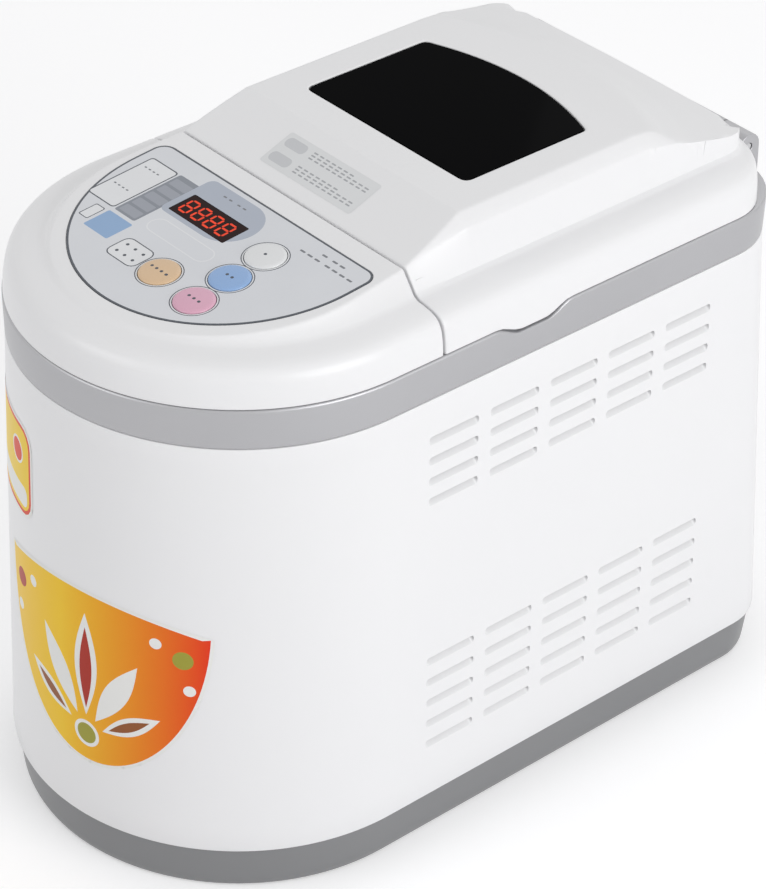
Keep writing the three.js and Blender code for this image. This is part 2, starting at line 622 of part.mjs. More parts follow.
const BUTTON_COLORS = {
  button_white: 0xf2f2f2, button_blue: 0x8fb0dc, button_pink: 0xe0a9bd, button_tan: 0xdcb68e,
};
for (const [name, at] of Object.entries(BUTTONS)) {
  const cap = turned([
    [0, BUTTON.stem], [3, BUTTON.stem], [3, -WALL - GAP - 1.5], [BUTTON.flange, -WALL - GAP - 1.5],
    [BUTTON.flange, -WALL - GAP], [BUTTON_RADIUS, -WALL - GAP], [BUTTON_RADIUS, 0.6],
    [BUTTON_RADIUS - 1.6, 1.3], [0, 1.7],
  ], at, 18);
  add(name, cap, [BUTTON_COLORS[name], 0.35], panel);
  const plunger = BUTTON.stem - BUTTON.travel - GAP;
  const key = join(
    box([at[0] - 3, at[0] + 3], [at[1] - 3, at[1] + 3], [BOARD_TOP + GAP, plunger - 0.8]),
    rod(1.7, [BOARD_TOP + 1, plunger], at, 12));
  add(name.replace("button", "switch"), key, BLACK, panel);
}
add("control_board",
  prism(roundRect([-58, 62], [-62, 8], 4, 3), [BOARD_TOP - 1.6, BOARD_TOP]), BOARD, panel);

// ---------------------------------------------------------------- baking chamber
const TERMINALS = [-14, 14];
const HEATER_INSET = 13; // from the chamber's wall to the middle of the rod
const HEATER = {
  z: CHAMBER.floor + 16, radius: 3.2, corner: 30, end: CHAMBER.front - 7,
  half: CHAMBER.x - HEATER_INSET, front: CHAMBER.front + HEATER_INSET, rear: CHAMBER.rear - HEATER_INSET,
};
const SENSOR = { x: 46, z: CHAMBER.floor + 44, radius: 3 };
const BEARING_RADIUS = 13;
const axisY = (radius, [y0, y1], x, z, segments = 16) => alongY(rod(radius, [y0, y1], [0, 0], segments))
  .translate([x, 0, z]);

function chamberLiner() {
  const outline = (grow) => roundRect(
    [-CHAMBER.x - grow, CHAMBER.x + grow], [CHAMBER.front - grow, CHAMBER.rear + grow],
    CHAMBER.corner + grow, 4);
  const top = BAND_TOP - FRAME_SHEET - GAP;
  const flange = prism(outline(6), [top - CHAMBER.sheet, top]);
  const tub = join(prism(outline(0), [CHAMBER.floor, top]), flange);
  const hollow = prism(outline(-CHAMBER.sheet), [CHAMBER.floor + CHAMBER.sheet, top + 1]);
  const holes = TERMINALS.map((x) => axisY(5, [CHAMBER.front - 3, CHAMBER.front + 3], x, HEATER.z));
  holes.push(axisY(SENSOR.radius + GAP, [CHAMBER.front - 3, CHAMBER.front + 3], SENSOR.x, SENSOR.z));
  holes.push(rod(BEARING_RADIUS + 3, [CHAMBER.floor - 1, CHAMBER.floor + 3], [0, PAN_Y], 16));
  return cut(tub, hollow, ...holes);
}

function heatingElement() {
  const { half, front, rear, corner, z, end, radius } = HEATER;
  const [left, right] = TERMINALS;
  return bar([
    [left, end], [left, front, 10], [-half, front, corner], [-half, rear, corner],
    [half, rear, corner], [half, front, corner], [right, front, 10], [right, end],
  ], z, radius);
}

function heaterClip(x, y) {
  const floor = CHAMBER.floor + CHAMBER.sheet + GAP;
  const seat = HEATER.z - HEATER.radius - GAP;
  const pad = box([x - 6, x + 6], [y - 6, y + 6], [floor, floor + 1.2]);
  return pad.add(box([x - 4, x + 4], [y - 4, y + 4], [floor, seat]));
}

add("chamber_liner", chamberLiner(), ZINC);
add("heating_element", heatingElement(), [0x5c5b5a, 0.45, 0.8]);
add("heater_clip_left", heaterClip(-HEATER.half, PAN_Y), STEEL);
add("heater_clip_right", heaterClip(HEATER.half, PAN_Y), STEEL);
add("heater_clip_rear", heaterClip(0, HEATER.rear), STEEL);
TERMINALS.forEach((x, index) => {
  const front = CHAMBER.front;
  const bush = alongY(turned([
    [HEATER.radius + GAP, front - 5.5], [8, front - 5.5], [8, front - GAP], [5 - GAP, front - GAP],
    [5 - GAP, front + 4], [HEATER.radius + GAP, front + 4],
  ], [0, 0], 12)).translate([x, 0, HEATER.z]);
  add(`heater_bush_${["left", "right"][index]}`, bush, [0xe6e0d2, 0.5]);
});
add("temperature_sensor", alongY(turned([
  [0, CHAMBER.front - 8], [4, CHAMBER.front - 8], [4, CHAMBER.front - 3], [7, CHAMBER.front - 3],
  [7, CHAMBER.front - GAP], [SENSOR.radius, CHAMBER.front - GAP], [SENSOR.radius, CHAMBER.front + 10],
  [0, CHAMBER.front + 11],
], [0, 0], 12)).translate([SENSOR.x, 0, SENSOR.z]), STEEL);

// ---------------------------------------------------------------- bread pan
const SOCKET = { wall: 38, foot: 44, low: CHAMBER.floor + CHAMBER.sheet + GAP, high: PAN_FLOOR - 10 };
const EAR_X = [PAN.x + 1, PAN.x + 3];
const PIVOT_Z = PAN.rim + BAIL_WIRE + 2;

function panOutline(inset, lower = 0) {
  const x = PAN.x - inset - lower;
  const y = PAN.y - inset - lower;
  return roundRect([-x, x], [PAN_Y - y, PAN_Y + y], PAN.corner - inset - lower, 4);
}

function breadPan() {
  const outer = loft([
    { points: panOutline(0, 9), z: PAN.floor }, { points: panOutline(0, 5), z: PAN.floor + 6 },
    { points: panOutline(0), z: PAN.rim },
  ]);
  const inner = loft([
    { points: panOutline(PAN.sheet, 9), z: PAN.floor + PAN.sheet },
    { points: panOutline(PAN.sheet, 5), z: PAN.floor + 6 + PAN.sheet },
    { points: panOutline(PAN.sheet), z: PAN.rim + 1 },
  ]);
  const rim = prism(panOutline(-3), [PAN.rim - 2, PAN.rim]);
  const collar = turned([
    [SOCKET.wall - 5, SOCKET.low + 1.5 + GAP], [SOCKET.wall - 1, SOCKET.low + 1.5 + GAP],
    [SOCKET.wall - 1, PAN.floor + 0.5], [SOCKET.wall - 5, PAN.floor + 0.5],
  ], [0, PAN_Y], 20);
  const lug = [
    [-7, PAN.rim - 2], [7, PAN.rim - 2], [7, PIVOT_Z], [4, PIVOT_Z + 5], [-4, PIVOT_Z + 5], [-7, PIVOT_Z],
  ];
  const ear = prismX(lug.map(([y, z]) => new THREE.Vector2(PAN_Y + y, z)), EAR_X);
  const hole = alongX(rod(BAIL_WIRE + GAP, [0, 200], [0, 0], 16)).translate([0, PAN_Y, PIVOT_Z]);
  const body = cut(join(outer, rim, collar), inner, rod(PAN_BORE, [0, PAN.floor + 5], [0, PAN_Y], 16));
  return cut(join(body, ear, ear.mirror([1, 0, 0])), hole, hole.mirror([1, 0, 0]));
}

function panBail() {
  const inner = EAR_X[0] - 2.5;
  const out = EAR_X[1] + 4;
  const far = PAN_Y + BAIL_REACH;
  return bar([
    [-inner, PAN_Y], [-out, PAN_Y, 3.5], [-out, far, 14], [out, far, 14], [out, PAN_Y, 3.5], [inner, PAN_Y],
  ], PIVOT_Z, BAIL_WIRE);
}

add("pan_socket", cut(
  turned([
    [BEARING_RADIUS + 4, SOCKET.low], [SOCKET.foot, SOCKET.low], [SOCKET.foot, SOCKET.low + 1.5],
    [SOCKET.wall + 2, SOCKET.low + 1.5], [SOCKET.wall + 2, SOCKET.high], [SOCKET.wall, SOCKET.high],
    [SOCKET.wall, SOCKET.low + 1.5], [BEARING_RADIUS + 4, SOCKET.low + 1.5],
  ], [0, PAN_Y], 20),
  box([-50, 50], [PAN_Y - 5, PAN_Y + 5], [SOCKET.high - 5, SOCKET.high + 5])), ZINC);
add("bread_pan", breadPan(), NON_STICK);
add("pan_bail", panBail(), STEEL);
add("pan_seal", turned([
  [SHAFT_SEAT, PAN.floor - 1.5], [PAN_BORE + 2, PAN.floor - 1.5], [PAN_BORE + 2, PAN.floor - GAP],
  [PAN_BORE - GAP, PAN.floor - GAP], [PAN_BORE - GAP, PAN.floor + PAN.sheet],
  [SHAFT_SEAT, PAN.floor + PAN.sheet],
], [0, PAN_Y], 16), [0x8c3b2e, 0.7]);

// ---------------------------------------------------------------- drive train
const BEARING_TOP = CHAMBER.floor + 10;
const COUPLING = { low: BEARING_TOP + RUN, disc: 4, radius: 11, lug: 5.5 };
const COUPLING_MEET = COUPLING.low + COUPLING.disc + COUPLING.lug;
const PADDLE_LOW = PAN.floor + PAN.sheet + 0.9;
const PADDLE = { low: PADDLE_LOW, high: PADDLE_LOW + 25, hub: 9, reach: 40 };
const SHAFT_TOP = PADDLE.high - 2.5;

function couplingLugs(z, flip) {
  const lugs = [-1, 1].map((side) => {
    const radial = [side * 8 - 2.7, side * 8 + 2.7];
    return flip
      ? box([-2.5, 2.5], radial.map((v) => v + PAN_Y), z)
      : box(radial, [PAN_Y - 2.5, PAN_Y + 2.5], z);
  });
  return join(...lugs);
}

function couplingDisc(z) {
  return turned([
    [SHAFT_SEAT, z], [COUPLING.radius, z], [COUPLING.radius, z + COUPLING.disc],
    [SHAFT_SEAT, z + COUPLING.disc],
  ], [0, PAN_Y], 16);
}

function kneadingPaddle() {
  const { low, high, hub, reach } = PADDLE;
  const bore = SHAFT_SEAT;
  const body = turned([
    [bore, low], [hub, low], [hub - 1.5, high - 3], [hub - 3, high], [0, high], [0, SHAFT_TOP + GAP],
    [bore, SHAFT_TOP + GAP],
  ], [0, PAN_Y], 16);
  const blade = new THREE.Shape();
  blade.moveTo(bore + 1.5, low);
  blade.lineTo(reach, low);
  blade.quadraticCurveTo(reach + 2, low + 6, reach - 4, low + 9);
  blade.quadraticCurveTo(hub + 8, low + 12, bore + 1.5, high - 4);
  return body.add(prismY(blade, [PAN_Y - 2.5, PAN_Y + 2.5]));
}

function drivePulley() {
  const { low, high } = BELT;
  const bore = SHAFT_SEAT;
  const wheel = turned([
    [bore, low - 1], [PULLEY_RADIUS + 3, low - 1], [PULLEY_RADIUS + 3, low - GAP],
    [PULLEY_RADIUS, low - GAP], [PULLEY_RADIUS, high + GAP], [PULLEY_RADIUS + 3, high + GAP],
    [PULLEY_RADIUS + 3, high + 1],
    [PULLEY_RADIUS - 6, high + 1], [PULLEY_RADIUS - 6, low + 2], [12, low + 2], [12, high + 1.5],
    [bore, high + 1.5],
  ], [0, PAN_Y], 24);
  const holes = [0, 1, 2, 3, 4].map((k) => {
    const angle = k * 2 * Math.PI / 5;
    return rod(9, [low - 2, high], [28 * Math.cos(angle), PAN_Y + 28 * Math.sin(angle)], 10);
  });
  return cut(wheel, ...holes);
}

function motorPulley() {
  const { low, high } = BELT;
  const bore = SHAFT_SEAT;
  return turned([
    [bore, low - 2], [PINION_RADIUS + 3, low - 2], [PINION_RADIUS + 3, low - GAP],
    [PINION_RADIUS, low - GAP], [PINION_RADIUS, high + GAP], [PINION_RADIUS + 3, high + GAP],
    [PINION_RADIUS + 3, high + 2], [bore, high + 2],
  ], [0, MOTOR_Y], 16);
}

// Loop round both pulleys, standing off them by the given distance.
function beltLoop(off) {
  const big = PULLEY_RADIUS + off;
  const small = PINION_RADIUS + off;
  const lean = Math.acos((big - small) / (PAN_Y - MOTOR_Y));
  const up = Math.PI / 2;
  return [
    ...arc(0, PAN_Y, big, big, up - Math.PI + lean, up + Math.PI - lean, 20),
    ...arc(0, MOTOR_Y, small, small, up + Math.PI - lean, up + Math.PI + lean, 8),
  ];
}

const MOTOR_BOSS = 10;
const MOTOR = { radius: 40, low: DECK + DECK_SHEET + GAP, high: DECK + 70 };

function motorBody() {
  const { radius, low, high } = MOTOR;
  const bore = SHAFT_SEAT;
  const can = turned([
    [bore, low - 4], [MOTOR_BOSS, low - 4], [MOTOR_BOSS, low], [radius - 6, low], [radius - 4, low + 8],
    [radius, low + 10], [radius, high - 12], [radius - 8, high - 2], [12, high], [12, high + 4],
    [bore, high + 4],
  ], [0, MOTOR_Y], 20);
  const lug = box([radius - 6, radius + 12], [MOTOR_Y - 8, MOTOR_Y + 8], [low, low + 3]);
  return join(can, lug, lug.mirror([1, 0, 0]));
}

function chassis() {
  const edge = DECK_HALF - DECK_SHEET;
  const [front, rear] = [MOTOR_Y - 42, CHAMBER.rear - LEDGE];
  const deck = prism(roundRect([-DECK_HALF, DECK_HALF], [front, rear], 10, 4), [DECK, DECK + DECK_SHEET]);
  const floor = FLOOR + GAP;
  const legs = [front + 22, rear - 30].map((y) => join(
    box([edge, DECK_HALF], [y, y + 26], [floor, DECK + 1]),
    box([edge, DECK_HALF + 13], [y, y + 26], [floor, floor + DECK_SHEET])));
  const stands = [PAN_Y - 65, PAN_Y + 65].flatMap((y) => [-50, 50].map(
    (x) => rod(4, [DECK, CHAMBER.floor - GAP], [x, y], 12)));
  const right = join(...legs);
  return cut(
    join(deck, right, right.mirror([1, 0, 0]), ...stands),
    rod(BEARING_RADIUS + GAP, [0, 100], [0, PAN_Y], 16), rod(MOTOR_BOSS + GAP, [0, 100], [0, MOTOR_Y], 16));
}

add("chassis", chassis(), ZINC);
const BEARING_SEAT = DECK + DECK_SHEET + GAP;
add("bearing_housing", turned([
  [SHAFT_SEAT, 50], [BEARING_RADIUS - 3, 50], [BEARING_RADIUS, 53], [BEARING_RADIUS, BEARING_SEAT],
  [22, BEARING_SEAT], [22, BEARING_SEAT + 2.7], [BEARING_RADIUS, BEARING_SEAT + 4.7],
  [BEARING_RADIUS, BEARING_TOP - 2], [BEARING_RADIUS - 2, BEARING_TOP], [SHAFT_SEAT, BEARING_TOP],
], [0, PAN_Y], 16), ZINC);
add("drive_shaft", rod(SHAFT_RADIUS, [BELT.low - 4, COUPLING.low + COUPLING.disc], [0, PAN_Y], 16), STEEL);
add("drive_pulley", drivePulley(), BLACK);
add("drive_coupling", join(
  couplingDisc(COUPLING.low),
  couplingLugs([COUPLING.low + COUPLING.disc - 1, COUPLING_MEET - 1], false)), STEEL);
const PAN_COUPLING = COUPLING_MEET - 0.6;
add("pan_coupling", join(
  couplingDisc(PAN_COUPLING), couplingLugs([PAN_COUPLING - 4.4, PAN_COUPLING + 1], true)), STEEL);
add("pan_shaft", rod(SHAFT_RADIUS, [PAN_COUPLING - 4, SHAFT_TOP], [0, PAN_Y], 16), STEEL);
add("kneading_paddle", kneadingPaddle(), NON_STICK);
add("motor", motorBody(), ZINC);
add("motor_shaft", rod(SHAFT_RADIUS, [BELT.low - 4, MOTOR.high + 6], [0, MOTOR_Y], 16), STEEL);
add("motor_pulley", motorPulley(), ZINC);
add("drive_belt", prism(
  beltLoop(GAP + BELT.thick), [BELT.low, BELT.high]).subtract(prism(beltLoop(GAP), [0, 100])), RUBBER);

// ---------------------------------------------------------------- shield and electrical parts
const SHIELD_Y = 30;
add("heat_shield", join(
  box([-76, 76], [SHIELD_Y, SHIELD_Y + 1.2], [MOTOR.low, CASE_TOP - 7]),
  box([-60, 60], [SHIELD_Y - 10, SHIELD_Y + 1.2], [MOTOR.low, MOTOR.low + 1.2])), ZINC);
add("power_board", join(
  box([-BOARD_X, BOARD_X], BOARD_Y, [BOARD_Z, BOARD_Z + 1.6]),
  box([14, 34], [-84, -68], [BOARD_Z + 1, BOARD_Z + 17]),
  box([-8, 6], [-88, -72], [BOARD_Z + 1, BOARD_Z + 11])), BOARD);
add("transformer", box([-38, -14], [-84, -64], [BOARD_Z + 1.6 + GAP, BOARD_Z + 25]), [0x3b3f46, 0.5]);
add("motor_capacitor", rod(14, [FLOOR + GAP, 52], [86, 24], 20), [0xd8d8d4, 0.4]);

export default machine;
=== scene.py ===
# Bread machine: the looks of its mouldings, sheet metal and printed parts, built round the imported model.
import json
import math
import bmesh
import bpy
import numpy as np
from mathutils import Matrix, Vector
from mathutils.geometry import delaunay_2d_cdt

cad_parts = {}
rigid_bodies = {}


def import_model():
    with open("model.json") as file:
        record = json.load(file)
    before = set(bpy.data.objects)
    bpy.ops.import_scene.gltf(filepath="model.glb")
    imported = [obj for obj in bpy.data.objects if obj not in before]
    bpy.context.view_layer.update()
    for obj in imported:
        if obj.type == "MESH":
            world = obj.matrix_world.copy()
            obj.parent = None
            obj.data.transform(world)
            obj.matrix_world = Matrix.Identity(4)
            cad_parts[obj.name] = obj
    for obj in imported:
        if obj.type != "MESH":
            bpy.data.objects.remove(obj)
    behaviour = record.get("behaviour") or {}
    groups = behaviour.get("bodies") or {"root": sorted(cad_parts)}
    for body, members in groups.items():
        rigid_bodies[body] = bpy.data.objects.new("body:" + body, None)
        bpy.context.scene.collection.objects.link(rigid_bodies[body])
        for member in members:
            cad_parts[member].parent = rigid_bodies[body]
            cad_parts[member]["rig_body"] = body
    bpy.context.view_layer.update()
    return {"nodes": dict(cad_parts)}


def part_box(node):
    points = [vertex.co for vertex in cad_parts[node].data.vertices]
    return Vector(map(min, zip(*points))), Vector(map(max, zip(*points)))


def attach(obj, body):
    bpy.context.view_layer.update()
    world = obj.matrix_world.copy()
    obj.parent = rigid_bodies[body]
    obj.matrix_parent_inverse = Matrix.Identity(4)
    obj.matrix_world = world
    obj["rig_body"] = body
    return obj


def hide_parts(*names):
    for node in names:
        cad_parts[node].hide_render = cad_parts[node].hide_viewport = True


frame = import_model()


# ---------------- camera, floor and lamps
# The machine stands on a pale studio floor that runs off to white. A broad softbox hangs at its
# right, a weaker one in front and a strip over the back, so the white mouldings keep their shading.
def aim(thing, place, target, roll=0.0):
    """Turns a camera or lamp so that its -Z axis runs from place to target, then rolls it about that axis."""
    look = (Vector(place) - Vector(target)).to_track_quat("Z", "Y").to_matrix().to_4x4()
    thing.matrix_world = Matrix.Translation(place) @ look @ Matrix.Rotation(roll, 4, "Z")
    bpy.context.scene.collection.objects.link(thing)


camera = bpy.data.objects.new("studio_camera", bpy.data.cameras.new("studio_camera"))
camera.data.lens = 136.1
camera.data.sensor_width = 36.0
camera.data.clip_end = 50.0
aim(camera, (1.0232, -0.8985, 1.0933), (-0.0335, 0.0416, 0.1110), math.radians(1.37))
bpy.context.scene.camera = camera


def wired(tree, kind, inputs, mode=None):
    """A new shader node, with each of its inputs set to a value or linked from a socket. The mode is the
    operation of a Math node, the data type of a Mix node or the node tree of a Group node."""
    node = tree.nodes.new(kind)
    if kind == "ShaderNodeMath":
        node.operation = mode
    elif kind == "ShaderNodeMix":
        node.data_type = mode
    elif kind == "ShaderNodeGroup":
        node.node_tree = mode
    for name, given in inputs.items():
        if isinstance(given, bpy.types.NodeSocket):
            tree.links.new(given, node.inputs[name])
        else:
            node.inputs[name].default_value = given
    return node


def seen_directly(tree):
    """1 on rays from the camera, mirrored rays and rays let through glass: the greatest of the three."""
    rays = tree.nodes.new("ShaderNodeLightPath")
    found = rays.outputs["Is Camera Ray"]
    for kind in ("Is Glossy Ray", "Is Transmission Ray"):
        found = wired(tree, "ShaderNodeMath", {0: found, 1: rays.outputs[kind]}, "MAXIMUM").outputs[0]
    return found


FLOOR_REACH = 6  # metres each way
FLOOR_GLOW = 0.35
floor_mesh = bpy.data.meshes.new("floor")
floor_corners = [(FLOOR_REACH * x, FLOOR_REACH * y, 0) for x, y in ((-1, -1), (1, -1), (1, 1), (-1, 1))]
floor_mesh.from_pydata(floor_corners, [], [(0, 1, 2, 3)])
floor = bpy.data.objects.new("floor", floor_mesh)
bpy.context.scene.collection.objects.link(floor)
paper = bpy.data.materials.new("studio_paper")
paper.use_nodes = True
tree = paper.node_tree
paper_shader = tree.nodes["Principled BSDF"]
paper_shader.inputs["Base Color"].default_value = (0.78, 0.78, 0.79, 1)
paper_shader.inputs["Roughness"].default_value = 0.9
paper_shader.inputs["Emission Color"].default_value = (1, 1, 1, 1)
glow = wired(tree, "ShaderNodeMath", {0: seen_directly(tree), 1: FLOOR_GLOW}, "MULTIPLY")
tree.links.new(glow.outputs[0], paper_shader.inputs["Emission Strength"])
floor_mesh.materials.append(paper)

world = bpy.data.worlds.new("studio")
world.use_nodes = True
bpy.context.scene.world = world
tree = world.node_tree
air = tree.nodes["Background"]
air.inputs["Color"].default_value = (1, 1, 1, 1)
sky = wired(tree, "ShaderNodeMix", {"Factor": seen_directly(tree), "A": 0.60, "B": 1.0}, "FLOAT")
tree.links.new(sky.outputs["Result"], air.inputs["Strength"])


def softbox(name, place, target, width, height, power):
    """A rectangular area lamp at a place, turned towards its target."""
    light = bpy.data.lights.new(name, "AREA")
    light.shape = "RECTANGLE"
    light.size = width
    light.size_y = height
    light.energy = power
    aim(bpy.data.objects.new(name, light), place, target)


softbox("softbox_right", (2.1, 0.2, 0.95), (0, 0, 0.15), 1.4, 1.2, 21)
softbox("softbox_front", (-0.6, -1.9, 1.4), (0, 0, 0.15), 1.2, 1.0, 7.5)
softbox("softbox_back", (-0.6, 1.6, 1.7), (0, 0, 0.3), 1.6, 0.7, 2)
bpy.context.scene.view_settings.view_transform = "Standard"


# ---------------- base tray and rubber feet
# Mid-grey ABS tray that carries the case and the chassis: a ring with a soft lower edge, drafted
# outwards to the case, and closed below. Four rubber pads are pushed into its pockets.
HALF = 108.0  # half width and nose radius at the silver band, in millimetres like every size below
REAR = 260.5
CORNER, FOOT_CORNER = 41.0, 34.0  # rear corners in plan at the band, and at the foot of the case
DRAFT, LEAN = 5.6, 4.3  # how far each side stands out at the foot of the case, and the back again
BASE_TOP = 23.0
nose_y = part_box("case_shell")[0].y * 1000 + HALF + DRAFT
base_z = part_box("foot_front_left")[0].z * 1000 + 3


def metres(points):
    """Workshop millimetres, from the nose centre at the base's underside, to the part's frame in metres."""
    return (np.asarray(points, float) + [0, nose_y, base_z]) / 1000


def d_rings(grow, rear, heights, corner=None, side=None, turn=None, nose_steps=64):
    """D-shaped rings, one for each height: up the right side, a quarter turn of the corner radius, the flat
    back, the other corner, down the left side and a half turn round the nose, all grown by `grow`."""
    grow, rear, heights = (each[:, None] for each in np.broadcast_arrays(np.atleast_1d(grow), rear, heights))
    corner = np.maximum(CORNER + grow, 1) if corner is None else np.asarray(corner, float)[:, None] + 0 * grow
    side = np.linspace(0, 200, 12) if side is None else np.asarray(side, float)
    turn = np.linspace(0, np.pi / 2, 13) if turn is None else turn
    run = np.linspace(1, -1, 16)[1:]
    around = np.linspace(np.pi, 2 * np.pi, nose_steps + 1)[1:-1]
    out = HALF + grow
    right_y = np.concatenate([side + 0 * grow, rear - corner], axis=1)
    x = np.concatenate([out + 0 * right_y, out - corner + corner * np.cos(turn[1:]), (out - corner) * run,
                        corner - out - corner * np.sin(turn[1:]), -out + 0 * right_y[:, :-1],
                        out * np.cos(around)], axis=1)
    y = np.concatenate([right_y, rear - corner + corner * np.sin(turn[1:]), rear + 0 * run,
                        rear - corner + corner * np.cos(turn[1:]), right_y[:, -2::-1],
                        out * np.sin(around)], axis=1)
    return np.stack([x, y, heights + 0 * x], axis=-1)


def eased(points, radius, steps=4):
    """An open line with its corners rounded: each becomes a quadratic curve that starts and ends `radius`
    from it, or 0.45 of the way to the next corner where that is nearer."""
    points = np.asarray(points, float)
    legs = np.maximum(np.linalg.norm(np.diff(points, axis=0), axis=1), 1e-9)[:, None]
    back = (points[:-2] - points[1:-1]) / legs[:-1]
    ahead = (points[2:] - points[1:-1]) / legs[1:]
    reach = np.minimum(np.reshape(radius, (-1, 1)), 0.45 * np.minimum(legs[:-1], legs[1:]))
    t = np.linspace(0, 1, steps + 1)[:, None]
    middle = points[1:-1, None]
    start = middle + (back * reach)[:, None]
    end = middle + (ahead * reach)[:, None]
    curve = (1 - t) ** 2 * start + 2 * t * (1 - t) * middle + t ** 2 * end
    return np.concatenate([points[:1], curve.reshape(-1, 2), points[-1:]])


def patch(points, around=True, flip=False, ink=0):
    """A grid of points as (flat point list, quads between neighbouring rows and columns, material number);
    `around` also joins the last column to the first."""
    rows, columns = points.shape[:2]
    index = np.arange(rows * columns).reshape(rows, columns)
    left = index if around else index[:, :-1]
    right = np.roll(index, -1, axis=1) if around else index[:, 1:]
    quads = np.stack([left[:-1], right[:-1], right[1:], left[1:]], axis=-1).reshape(-1, 4)
    return points.reshape(-1, 3), (quads[:, ::-1] if flip else quads).tolist(), ink


def cap(ring, flip=False):
    """One flat face over a closed ring of points."""
    order = list(range(len(ring)))
    return np.asarray(ring, float), [order[::-1] if flip else order], 0


def settle(name, mesh, body, stands_for, materials, sharp, flatten=False):
    """Welds a mesh, joins flat faces if asked, smooths it up to an angle and puts it on its body."""
    work = bmesh.new()
    work.from_mesh(mesh)
    bmesh.ops.remove_doubles(work, verts=work.verts, dist=2e-6)
    if flatten:
        bmesh.ops.dissolve_limit(work, angle_limit=math.radians(0.5), verts=work.verts, edges=work.edges)
    work.to_mesh(mesh)
    work.free()
    mesh.shade_smooth()
    if sharp:
        mesh.set_sharp_from_angle(angle=math.radians(sharp))
    for material in materials:
        mesh.materials.append(material)
    made = bpy.data.objects.new(name, mesh)
    bpy.context.scene.collection.objects.link(made)
    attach(made, body)
    if stands_for:
        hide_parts(*stands_for)
    return made


def piece(name, patches, body, stands_for, materials, sharp, place=None):
    """Joins patches into one mesh. Points are workshop millimetres, unless `place` maps them there first."""
    points, faces, inks, start = [], [], [], 0
    for spots, quads, ink in patches:
        points.append(spots if place is None else place(spots))
        faces += [[corner + start for corner in face] for face in quads]
        inks += ink if isinstance(ink, list) else [ink] * len(quads)
        start += len(spots)
    mesh = bpy.data.meshes.new(name)
    mesh.from_pydata(metres(np.concatenate(points)).tolist(), [], faces)
    mesh.polygons.foreach_set("material_index", inks)
    return settle(name, mesh, body, stands_for, materials, sharp)


def surface_group():
    """Shared moulding effect: broad colour drift between two tones, a fine grain for the bump and a slow
    change of roughness, all from noise on the place that it is given."""
    group = bpy.data.node_groups.new("moulded_surface", "ShaderNodeTree")
    for way, kind, names in (("INPUT", "Vector", ["Place"]), ("INPUT", "Color", ["Tone", "Shade"]),
                             ("INPUT", "Float", ["Drift Scale", "Grain Scale", "Gloss", "Gloss Change"]),
                             ("OUTPUT", "Color", ["Colour"]), ("OUTPUT", "Float", ["Roughness", "Grain"])):
        for name in names:
            group.interface.new_socket(name=name, in_out=way, socket_type="NodeSocket" + kind)
    taken = group.nodes.new("NodeGroupInput").outputs
    drift = wired(group, "ShaderNodeTexNoise",
                  {"Vector": taken["Place"], "Scale": taken["Drift Scale"], "Detail": 4.0}).outputs["Fac"]
    grain = wired(group, "ShaderNodeTexNoise",
                  {"Vector": taken["Place"], "Scale": taken["Grain Scale"], "Detail": 2.0}).outputs["Fac"]
    tone = wired(group, "ShaderNodeMix", {"Factor": drift, "A": taken["Tone"], "B": taken["Shade"]}, "RGBA")
    swing = wired(group, "ShaderNodeMath", {0: drift, 1: taken["Gloss Change"], 2: taken["Gloss"]},
                  "MULTIPLY_ADD")
    wired(group, "NodeGroupOutput",
          {"Colour": tone.outputs["Result"], "Roughness": swing.outputs[0], "Grain": grain})
    return group


moulded_surface = surface_group()


def finish(name, tone, shade, gloss, change=0.08, grain=1400, relief=0.02, drift=9, metal=0.0, coat=0.0,
           mirror=0.5):
    """A material of the shared surface effect: two tones, how rough it is and the height of its grain in
    millimetres. Metal, coat and how much it mirrors stay plain numbers on the shader."""
    material = bpy.data.materials.new(name)
    material.use_nodes = True
    tree = material.node_tree
    shader = tree.nodes["Principled BSDF"].inputs
    shader["Metallic"].default_value = metal
    shader["Coat Weight"].default_value = coat
    shader["Coat Roughness"].default_value = 0.06
    shader["Specular IOR Level"].default_value = mirror
    place = tree.nodes.new("ShaderNodeTexCoord").outputs["Object"]
    effect = wired(tree, "ShaderNodeGroup",
                   {"Place": place, "Tone": (*tone, 1), "Shade": (*shade, 1), "Drift Scale": drift,
                    "Grain Scale": grain, "Gloss": gloss, "Gloss Change": change}, moulded_surface).outputs
    bump = wired(tree, "ShaderNodeBump",
                 {"Strength": 0.35, "Distance": relief / 1000, "Height": effect["Grain"]})
    tree.links.new(effect["Colour"], shader["Base Color"])
    tree.links.new(effect["Roughness"], shader["Roughness"])
    tree.links.new(bump.outputs["Normal"], shader["Normal"])
    return material


tray_line = eased([(-4, 0), (-3.9, -2), (-3.4, -2.5), (-1.9, -2.5), (0.2, -1.9), (1.6, 1.5),
                   (DRAFT - 1.7, BASE_TOP - 0.5), (DRAFT - 2.6, BASE_TOP), (DRAFT - 3.0, BASE_TOP),
                   (DRAFT - 3.0, BASE_TOP + 8)], 1.2)
tray_wall = d_rings(tray_line[:, 0], REAR + LEAN + tray_line[:, 0], tray_line[:, 1],
                    corner=FOOT_CORNER - DRAFT + tray_line[:, 0])
piece("base_tray_moulding", [patch(tray_wall), cap(tray_wall[0], flip=True)], "cabinet", ["base_tray"],
      [finish("base_grey_abs", (0.235, 0.237, 0.243), (0.205, 0.207, 0.214), 0.36, grain=2600,
                           relief=0.03)], 50)


def turned(profile, centre, steps=48, radius=0.6):
    """A profile of (radius, height) pairs, its corners eased, carried round an upright axis at centre."""
    line = eased(profile, radius)
    angle = np.arange(steps) * 2 * np.pi / steps
    x = centre[0] + line[:, :1] * np.cos(angle)
    y = centre[1] + line[:, :1] * np.sin(angle)
    return patch(np.stack([x, y, line[:, 1:] + 0 * x], axis=-1))


